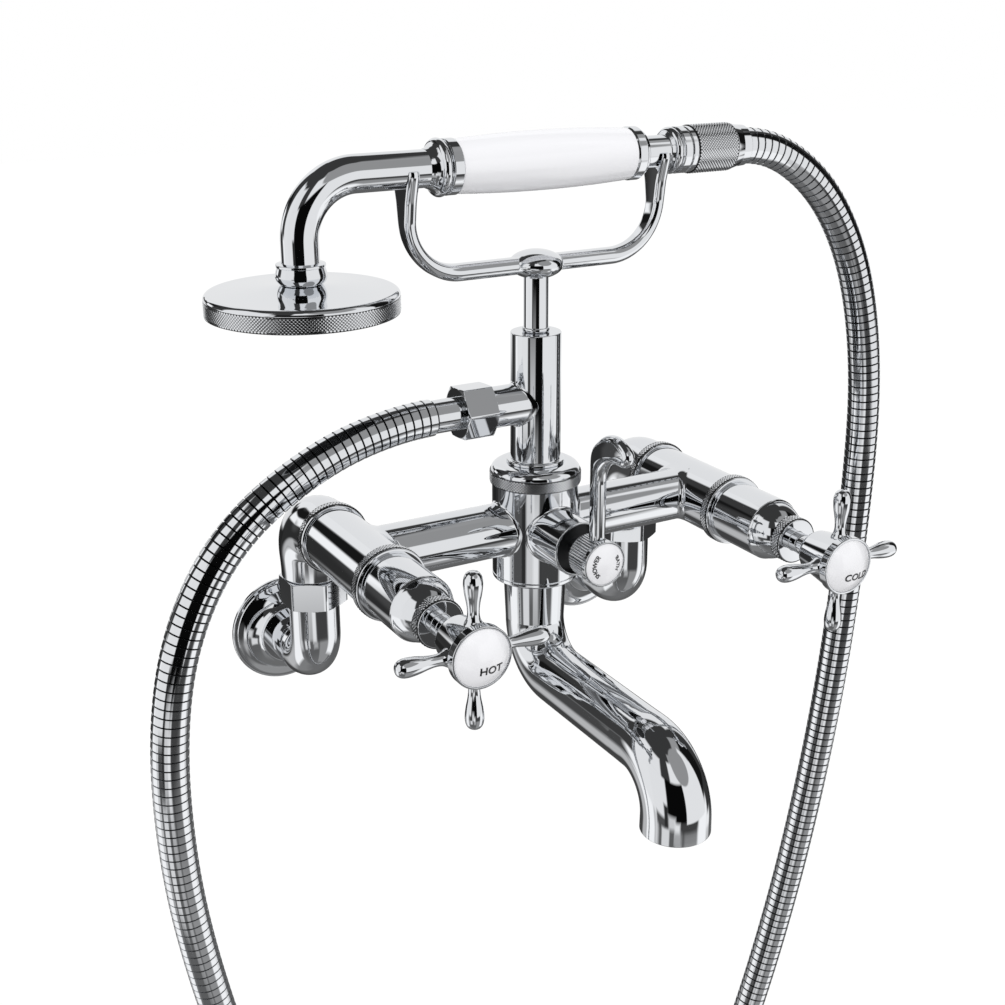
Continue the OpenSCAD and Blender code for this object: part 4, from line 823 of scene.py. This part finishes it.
class MIXER_OT_centre(bpy.types.Operator):
    """Makes the centre body, the knurled nut on it, the riser with its tee, and the post"""
    bl_idname = "mixer.centre"
    bl_label = "Centre and riser"

    def execute(self, context):
        """The shoulder of the top nut is a quarter ellipse, r = 15.2 + 5.4 cos a at z = 100.5 + 4.1 sin a."""
        line, front = upright(0, BODY_OUT), out_of_wall(0)
        barrel = turned([(14.9, 50), (14.9, 48.2, 0.3), (BODY_R, 48.2, 1.0), (BODY_R, 50.2, 0.1),
                         (19.6, 50.5, 0.05), (BODY_R, 50.8, 0.1), (BODY_R, 95.0, 0.3), (12, 95.0)],
                        line, sides=128)
        boss = turned([(BOSS_R, BODY_OUT), (BOSS_R, 141.4, 0.5), (11.55, 141.4, 0.4), (11.55, 136.6, 0.4),
                       (4, 136.6)], front)
        root = saddle((0, -BODY_OUT, VALVE_Z), (0, -1, 0), (0, 0, 1), BOSS_R, BODY_R, fillet=1.2)
        # Painted shade: a thin dark sheet on the floor and wall of the boss's cup, in the knurl finish with
        # its shade share at 1 all over, where shade falls
        shade_sheet = turned([(3.9, 136.2), (11.6, 136.2), (11.6, 140.8), (11.45, 140.8), (11.45, 136.75),
                         (3.9, 136.75)], front, 0.05)
        shade_sheet = (*shade_sheet, np.ones(len(shade_sheet[0])))
        chrome_piece("centre_body", [barrel, boss, root, shade_sheet], finishes=["chrome"] * 3 + ["knurl"])

        below = rounded([(12, 95.0), (20.4, 95.0, 0.4), (20.75, 95.5, 0.2), (20.75, 100.3, 0.1),
                         (20.6, 100.5)])
        a = np.radians(np.linspace(6, 90, 22))
        above = np.stack([15.2 + 5.4 * np.cos(a), 100.5 + 4.1 * np.sin(a)], 1)
        nut = carried(np.vstack([below, above, [(12, 104.6)]]), line, sides=128)
        knurled_piece("top_nut", nut, (21.2, 95.1, 100.4), line)

        stand = turned([(8, 88), (RISER_R, 88), (RISER_R, 104.6), (13.4, 104.6, 0.3), (13.4, 106.2, 0.7),
                        (RISER_R, 106.2, 0.4), (RISER_R, 165.3, 0.5), (5, 165.3)], line, sides=128)
        branch = straight(0, -BODY_OUT, TEE_Z, (-1, 0, 0))
        tee = turned([(TEE_R, 0), (TEE_R, 25, 0.3), (8.4, 25), (8.4, 33)], branch)
        root = saddle((0, -BODY_OUT, TEE_Z), (-1, 0, 0), (0, 0, 1), TEE_R, RISER_R, fillet=1.2)
        chrome_piece("riser", [stand, tee, root])

        post = turned([(4, 155.3), (4, 165.3), (6.25, 165.3, 0.9), (6.25, 167.3, 0.9), (5.65, 167.3, 0.2),
                       (5.65, 190.5), (3, 190.5)], line)
        chrome_piece("post", [post])

        nut_turn = np.radians(-3.6)
        across = (0, np.cos(nut_turn), np.sin(nut_turn))
        nut = hexagon(flats=22.4, low=25.25, high=40.25, path=branch, across=across, bore=9.4)
        chrome_piece("tee_nut", [nut])
        return {"FINISHED"}


class MIXER_OT_diverter(bpy.types.Operator):
    """Makes the fluted diverter knob with its hooked lever and its index"""
    bl_idname = "mixer.diverter"
    bl_label = "Diverter"

    def execute(self, context):
        """The lever is a plate whose hooked outline joins lines and arcs. Its edge radius grows from 0.9 to
        2.8 mm towards the front by the smooth step f^2 (3 - 2 f)."""
        line = out_of_wall(0)
        knob = turned([(4, 146.4), (4, 146.3), (8.8, 146.3, 0.4), (9.2, 147, 0.3), (9.2, 158.9, 0.1),
                       (10.1, 159, 0.3), (10.4, 159.6, 0.3), (10.4, 162, 0.5), (9.45, 162, 0.3),
                       (9.45, 160.3)], line)
        flutes = fluted(9.8, 147, 159, line, context.scene.mixer_sizes.flutes, depth=0.3)

        hook, tip, throat = (15.5, 44.5), (22.5, 52.85), (18.48, 36.17)
        outline = np.vstack([refined([(0, 7), (0, 44)], 3), arc(hook, 15.5, 180, 50, 27),
                             arc(tip, 4.6, 48, -88, 17), refined([(22, 48.25), (19, 48.25)], 1),
                             arc(throat, 12.08, 90, 180, 15), refined([(6.4, 35.5), (6.4, 7)], 3)])
        front = np.clip((outline[:, 0] - 1) / 4, 0, 1)
        edge = 0.9 + 1.9 * front * front * (3 - 2 * front)
        lever = plate(outline, half=3.0, edge=edge, x=0, out=152.6, height=VALVE_Z)
        chrome_piece("diverter_lever", [knob, flutes, lever], "diverter")

        size, ring = 2.7, 6.0
        words = [("SHOWER", size, (0, 0), (ring, 180)), ("BATH", size, (0, 0), (ring, 0))]
        porcelain_index("diverter_index", [(8.5, 160.2), (9.4, 160.4)], radius=9.4, rise=2.0,
                        edge=161.7, x=0, lettering=words, body="diverter")
        return {"FINISHED"}


class MIXER_OT_cradle(bpy.types.Operator):
    """Makes the cradle with its open forks"""
    bl_idname = "mixer.cradle"
    bl_label = "Cradle"

    def execute(self, context):
        """The cradle is a flat section with half-round ends, x = a cos t and y = +-(b - a) + a sin t, carried
        along a U. The half thickness a grows by a smooth step from the arms to the bar, and the half depth b
        towards the forks. There every line of the surface ends on the round seat, z = axis - sqrt(R^2 - y^2),
        and the seat is the ruled strip between the two faces of the arm. The boss is an ellipsoid."""
        arm, bar, seat, start, bend, thin = 62.25, 195.5, 8.2, 222.0, 23.8, 2.75
        path = refined(rounded([(-arm, start), (-arm, bar, bend), (arm, bar, bend), (arm, start)],
                               step=0.04, share=0.98), 2.5)
        count = 33
        turn = np.radians(np.r_[np.linspace(0, 180, count), np.linspace(180, 360, count)])
        cols, end, thick = len(turn), np.repeat([1, -1], count), np.cos(turn)

        def deep(z, half):
            depth = np.interp(z, [198, 214, 218, 226.9, 233, 236.7, 238.6, 240],
                              [4.6, 5.0, 5.2, 6.5, 8.2, 9.25, 9.6, 9.2])
            return end * (depth - half) + half * np.sin(turn)

        ahead = np.gradient(path, axis=0)
        ahead /= np.linalg.norm(ahead, axis=1, keepdims=True)
        normal = np.stack([-ahead[:, 1], ahead[:, 0]], 1)
        share = np.clip((arm - np.abs(path[:, 0])) / bend, 0, 1)
        half = thin + 0.95 * share * share * (3 - 2 * share)
        flat = path[:, None] + (half[:, None] * thick)[..., None] * normal[:, None]
        middle = np.stack([flat[..., 0], deep(path[:, 1:], half[:, None]) - BODY_OUT, flat[..., 1]], -1)

        # Each pass goes halfway to the seat's height at the last guess, until every line's height settles
        top = np.full(cols, HANDSET_Z)
        for _ in range(60):
            top = 0.5 * top + 0.5 * (HANDSET_Z - np.sqrt(np.maximum(seat ** 2 - deep(top, thin) ** 2, 0)))
        v = np.linspace(0, 1, 15)[1:, None]
        height = start + v * (top - start)
        level = deep(height, thin) - BODY_OUT

        def fork(x, sign):
            return np.stack([np.broadcast_to(x + sign * thin * thick, height.shape), level, height], -1)

        grid = np.concatenate([fork(-arm, 1)[::-1], middle, fork(arm, -1)])
        verts, faces = closed_grid(grid)
        index, _ = numbered(len(grid), cols)
        near = count // 2
        far = count + near
        one, two = np.r_[far:cols, 0:near + 1], np.r_[far:near - 1:-1]
        strip = [np.stack([ring[one[:-1]], ring[one[1:]], ring[two[1:]], ring[two[:-1]]], 1)[:, ::way]
                 for ring, way in ((index[0], -1), (index[-1], 1))]
        faces = faces[:-2] + [[*dict.fromkeys(f)] for f in np.vstack(strip).tolist()]

        a = np.radians(np.linspace(-89.5, 89.5, 33))
        boss = carried(np.stack([12.2 * np.cos(a), bar + 6.4 * np.sin(a)], 1), upright(0, BODY_OUT))
        chrome_piece("cradle", [(verts, faces), boss])
        return {"FINISHED"}


class MIXER_OT_spout(bpy.types.Operator):
    """Makes the bath spout"""
    bl_idname = "mixer.spout"
    bl_label = "Spout"

    def execute(self, context):
        """A tube along two bends: it narrows from the body to the first bend and widens slowly from the
        second to the mouth, where it turns in to the water way."""
        path = bent([(BODY_OUT, 56), (BODY_OUT, 4, 23), (220, 4, 24), (220, -26.2)], 0)
        length = length_of(path)
        neck = rounded([(12, 0), (14.8, 0), (14.8, 8), (13.9, 29), (13.9, length - 52)])
        flare = smooth([(13.9, length - 52), (14.05, length - 42), (14.55, length - 28), (14.95, length - 14),
                        (15.2, length - 0.8)], 8)
        mouth = rounded([(15.2, length - 0.8), (15.2, length, 0.6), (12.05, length, 0.5),
                         (12.05, length - 5.9)])
        outline = np.vstack([refined(neck, TUBE_STEP)[:-1], flare[:-1], mouth])
        chrome_piece("spout", [carried(outline, path, sides=112)])
        return {"FINISHED"}


class MIXER_OT_handset(bpy.types.Operator):
    """Makes the handset: hose nut, spigot, ferrules, porcelain grip and neck"""
    bl_idname = "mixer.handset"
    bl_label = "Handset"

    def execute(self, context):
        """Pieces spun about the handset's axis have their places along x as stations, counted from a point
        left of them all. The grip is a barrel: its radius is a parabola, end radius + 2 swell t (1 - t)."""
        shift = 200.0
        line = straight(-shift, -BODY_OUT, HANDSET_Z, (1, 0, 0))
        across = (0, 1, 0)

        def spun(corners):
            return turned([(c[0], c[1] + shift, *c[2:]) for c in corners], line)

        nut = spun([(8.5, 75.9), (8.5, 75.75), (10.0, 75.75, 0.3), (10.4, 76.2, 0.3), (10.4, 78.4, 0.2),
                    (10.1, 78.75, 0.1), (10.4, 79.1, 0.1), (10.4, 100.6, 0.2), (10.75, 100.8, 0.4),
                    (10.3, 102.6, 1.5), (9.6, 105.2, 1.5), (9.25, 109.75, 0.4), (8.6, 109.75, 0.2),
                    (8.6, 94)])
        knurled_piece("hose_nut", nut, (10.95, 78.9 + shift, 100.7 + shift), line, "handset")
        ring = rounded([(9.4, 70.83), (9.5, 71.2, 0.1), (10.2, 71.4, 0.1), (10.4, 71.7, 0.2),
                        (10.4, 75.5, 0.5), (8.4, 75.5), (8.4, 83)])
        tail = np.vstack([rounded([(6, 30), (6, 52.8), (7.1, 52.8, 0.2), (7.1, 65.9, 0.8), (8.4, 67.1)]),
                          arc((8.4, 69.1), 2.0, -85, 60, 18), ring[1:]])
        chrome_piece("handset_spigot", [carried(tail + (0, shift), line, across)], "handset")
        rear = spun([(6, 45.4), (11.0, 45.4, 0.2), (11.7, 46.2, 0.5), (11.7, 50.2, 0.6), (10.6, 51.0, 0.4),
                     (10.3, 52.2, 0.4), (9.7, 52.8, 0.4), (6, 52.8)])
        chrome_piece("rear_ferrule", [rear], "handset")

        t = np.linspace(0, 1, 49)
        end_radius, swell, start, length = 11.3, 2.8, -40.5, 86
        barrel = np.stack([end_radius + swell * 2 * t * (1 - t), start + length * t], 1)
        grip = np.vstack([[(10.9, -40.5), (11.2, -40.4)], barrel[1:-1], [(11.2, 45.4), (10.9, 45.5)]])
        grip = carried(grip + (0, shift), line, across, 112)
        piece("handset_grip_finished", [grip], ["porcelain"], "handset", ["handset_grip"])

        trumpet = smooth([(7.9, -54), (8.2, -53.4), (8.7, -52.2), (9.5, -51.0), (10.4, -50.0)], 5)
        ring = rounded([(10.6, -45.75), (10.9, -45.4, 0.1), (11.5, -45.2, 0.1), (11.7, -44.9, 0.2),
                        (11.7, -40.55, 0.4), (6, -40.55)])
        front = np.vstack([trumpet, arc((9.94, -47.84), 2.2, -75, 70, 20), ring[1:]])
        chrome_piece("front_ferrule", [carried(front + (0, shift), line, across)], "handset")

        path = bent([(-46, HANDSET_Z), (ROSE_X, HANDSET_Z, 25), (ROSE_X, 199.8)])
        end = length_of(path)
        pipe = refined(rounded([(5.5, 0), (7.85, 0, 0.3), (7.85, end, 0.3), (5.5, end)]), TUBE_STEP)
        chrome_piece("handset_neck", [carried(pipe, path, across)], "handset")
        return {"FINISHED"}


class MIXER_OT_rose(bpy.types.Operator):
    """Makes the rose with its knurled edge and its collar"""
    bl_idname = "mixer.rose"
    bl_label = "Rose"

    def execute(self, context):
        line = upright(ROSE_X, BODY_OUT)
        swell = smooth([(7.7, 197.8), (8.9, 198.1), (10.0, 199.2), (10.55, 200.8), (10.5, 202.3),
                        (10.1, 203.8), (9.8, 204.9)], 5)
        lip = rounded([(9.8, 205.0), (10.2, 205.2, 0.1), (10.2, 206.2, 0.3), (8.3, 206.6, 0.3), (7.8, 206.7)])
        collar = carried(np.vstack([[(5.5, 197.8)], swell, lip]), line)
        chrome_piece("rose_collar", [collar], "handset")

        edge = rounded([(37.4, 188), (37.4, 186, 0.3), (39.3, 186, 0.3), (39.6, 186.4, 0.1),
                        (39.4, 186.7, 0.1), (39.4, 192.9, 0.1), (39.8, 193.0)])
        crown = smooth([(5.5, 197.8), (8.4, 197.75), (9.8, 197.4), (12.0, 197.0), (17.9, 196.4),
                        (27.9, 195.75), (34.0, 195.45), (37.0, 195.37)], 5)
        outline = np.vstack([edge, arc((37.6, 193.1), 2.25, 2, 88, 14), crown[::-1]])
        knurled_piece("rose_shell", carried(outline, line, sides=160), (39.9, 186.2, 193.0), line, "handset")
        return {"FINISHED"}


class MIXER_OT_inner(bpy.types.Operator):
    """Gives the CAD nodes that stay their finishes: cartridges, spindles, screws, washers and discs"""
    bl_idname = "mixer.inner"
    bl_label = "Inner pieces"

    def execute(self, context):
        finishes = {p["node"]: p["material_slot"] for p in frame["record"]["subparts"]}
        for name, node in frame["nodes"].items():
            if not node.hide_render:
                node.data.materials.clear()
                node.data.materials.append(finish_of(finishes[name]))
        return {"FINISHED"}


def stage_piece(name, points, faces, paint):
    """Object of the stage, with an empty node material of its own."""
    mesh = bpy.data.meshes.new(name)
    mesh.from_pydata(points, [], faces)
    material = bpy.data.materials.new(paint)
    material.use_nodes = True
    material.node_tree.nodes.clear()
    mesh.materials.append(material)
    obj = bpy.data.objects.new(name, mesh)
    bpy.context.scene.collection.objects.link(obj)
    return obj, material


def white_world(scene):
    """World that is white to the camera and in mirrors and glass, and an even fill light for the rest."""
    scene.world = bpy.data.worlds.new("Studio")
    scene.world.use_nodes = True
    tree = scene.world.node_tree
    tree.nodes.clear()
    rays = add(tree, "ShaderNodeLightPath").outputs
    seen = rays["Is Camera Ray"]
    for kind in ("Is Glossy Ray", "Is Transmission Ray"):
        seen = add(tree, "ShaderNodeMath", {0: seen, 1: rays[kind]}, operation="MAXIMUM").outputs[0]
    ends = {"Value": seen, "To Min": scene.mixer_finishes.fill, "To Max": 1.0}
    level = add(tree, "ShaderNodeMapRange", ends).outputs["Result"]
    light = add(tree, "ShaderNodeBackground", {"Color": (1, 1, 1, 1), "Strength": level})
    add(tree, "ShaderNodeOutputWorld", {"Surface": light.outputs[0]})


def studio_levels(azimuth, elevation):
    """Brightness of the studio in each direction, in degrees. A panel's reach is the distance inwards from
    its nearest edge, and the round lamp's is its radius less the angle from its middle. Each one blends over
    those before it by the share 1/2 + reach / (2 soft), held between 0 and 1."""
    level = np.full(azimuth.shape, DARK_ROOM)
    for *place, bright, soft in STUDIO:
        if len(place) == 3:
            middle, height, radius = place
            up, mid = np.radians(elevation), np.radians(height)
            turn = np.cos(np.radians(azimuth - middle))
            near = np.sin(up) * np.sin(mid) + np.cos(up) * np.cos(mid) * turn
            reach = radius - np.degrees(np.arccos(np.clip(near, -1, 1)))
        else:
            west, east, low, high = place
            reach = np.minimum.reduce([
                azimuth - west + 360 * (west <= -180), east - azimuth + 360 * (east >= 180),
                elevation - low + 90 * (low <= -90), high - elevation + 90 * (high >= 90)])
        level += (bright - level) * np.clip(0.5 + reach / (2 * soft), 0, 1)
    return level


def mirrored_studio():
    """Ball round the object that only mirrors see, as bright in each direction as the studio's panels there:
    a point is centre + R (sin a cos e, -cos a cos e, sin e)."""
    radius, centre = 3.0, np.array([0, -0.1, 0.1])
    azimuth, elevation = np.meshgrid(np.arange(-180, 180), np.arange(-90, 91))
    a, e = np.radians(azimuth), np.radians(elevation)
    points = np.stack([np.sin(a) * np.cos(e), -np.cos(a) * np.cos(e), np.sin(e)], -1) * radius
    index, on = numbered(*azimuth.shape)
    quads = np.stack([index[:-1], index[1:], on[1:], on[:-1]], -1).reshape(-1, 4)
    points = points.reshape(-1, 3) + centre
    panels, paint = stage_piece("studio_panels", points, quads.tolist(), "Studio panels")
    level = studio_levels(azimuth, elevation).ravel().astype(np.float32)
    panels.data.attributes.new("brightness", "FLOAT", "POINT").data.foreach_set("value", level)
    paint.cycles.emission_sampling = "NONE"
    tree = paint.node_tree
    bright = add(tree, "ShaderNodeAttribute", attribute_name="brightness")
    glow = add(tree, "ShaderNodeEmission", {"Strength": bright.outputs["Fac"]})
    add(tree, "ShaderNodeOutputMaterial", {"Surface": glow.outputs[0]})
    panels.visible_camera = panels.visible_diffuse = panels.visible_shadow = False
    panels.visible_transmission = panels.visible_volume_scatter = False
    return panels


def pale_floor(colour):
    """Matt floor below the hose: it shows the camera mostly white, and the shadow in the rest."""
    half, low = 6.0, -0.47
    corners = [(-half, -half, low), (half, -half, low), (half, half, low), (-half, half, low)]
    floor, paper = stage_piece("studio_floor", corners, [(0, 1, 2, 3)], "Pale studio floor")
    tree = paper.node_tree
    rays = add(tree, "ShaderNodeLightPath")
    matt = add(tree, "ShaderNodeBsdfDiffuse", {"Color": (*colour, 1)})
    white = add(tree, "ShaderNodeEmission", {"Strength": 1.08})
    share = add(tree, "ShaderNodeMath", {0: rays.outputs["Is Camera Ray"], 1: 0.8}, operation="MULTIPLY")
    both = {0: share.outputs[0], 1: matt.outputs[0], 2: white.outputs[0]}
    mixed = add(tree, "ShaderNodeMixShader", both)
    add(tree, "ShaderNodeOutputMaterial", {"Surface": mixed.outputs[0]})
    floor.visible_glossy = False
    return floor


class MIXER_OT_stage(bpy.types.Operator):
    """Makes the floor, the studio that the metal mirrors, the light and the white background"""
    bl_idname = "mixer.stage"
    bl_label = "Stage"

    def execute(self, context):
        scene = context.scene
        finishes = scene.mixer_finishes
        scene.view_settings.view_transform = "Standard"
        white_world(scene)
        panels = mirrored_studio()
        floor = pale_floor(finishes.floor)

        lamp = bpy.data.lights.new("Soft key", "AREA")
        lamp.energy, lamp.size = finishes.key, 1.4
        key = bpy.data.objects.new("Soft key", lamp)
        key.location = (-0.4, -1.0, 1.7)
        key.rotation_euler = (np.radians(30), 0, np.radians(-14))
        key.visible_glossy = False
        scene.collection.objects.link(key)
        return {"FINISHED"}


class MIXER_PT_pieces(bpy.types.Panel):
    """Lists the pieces of the mixer"""
    bl_label = "Mixer"
    bl_idname = "MIXER_PT_pieces"
    bl_space_type = "VIEW_3D"
    bl_region_type = "UI"
    bl_category = "Mixer"

    def draw(self, context):
        layout = self.layout
        for group in (context.scene.mixer_sizes, context.scene.mixer_finishes):
            for name in group.__annotations__:
                layout.prop(group, name)
        for operator in PIECES:
            layout.operator(operator.bl_idname)


PIECES = (MIXER_OT_camera, MIXER_OT_hose, MIXER_OT_wall_unions, MIXER_OT_valves, MIXER_OT_handles,
          MIXER_OT_centre, MIXER_OT_diverter, MIXER_OT_cradle, MIXER_OT_spout, MIXER_OT_handset,
          MIXER_OT_rose, MIXER_OT_inner, MIXER_OT_stage)
CLASSES = (MixerSizes, MixerFinishes, *PIECES, MIXER_PT_pieces)


def register():
    for cls in CLASSES:
        bpy.utils.register_class(cls)
    bpy.types.Scene.mixer_sizes = bpy.props.PointerProperty(type=MixerSizes)
    bpy.types.Scene.mixer_finishes = bpy.props.PointerProperty(type=MixerFinishes)


def unregister():
    del bpy.types.Scene.mixer_finishes
    del bpy.types.Scene.mixer_sizes
    for cls in reversed(CLASSES):
        bpy.utils.unregister_class(cls)


def main():
    register()
    for operator in PIECES:
        getattr(bpy.ops.mixer, operator.bl_idname.split(".")[1])()
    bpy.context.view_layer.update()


if __name__ == "__main__":
    main()
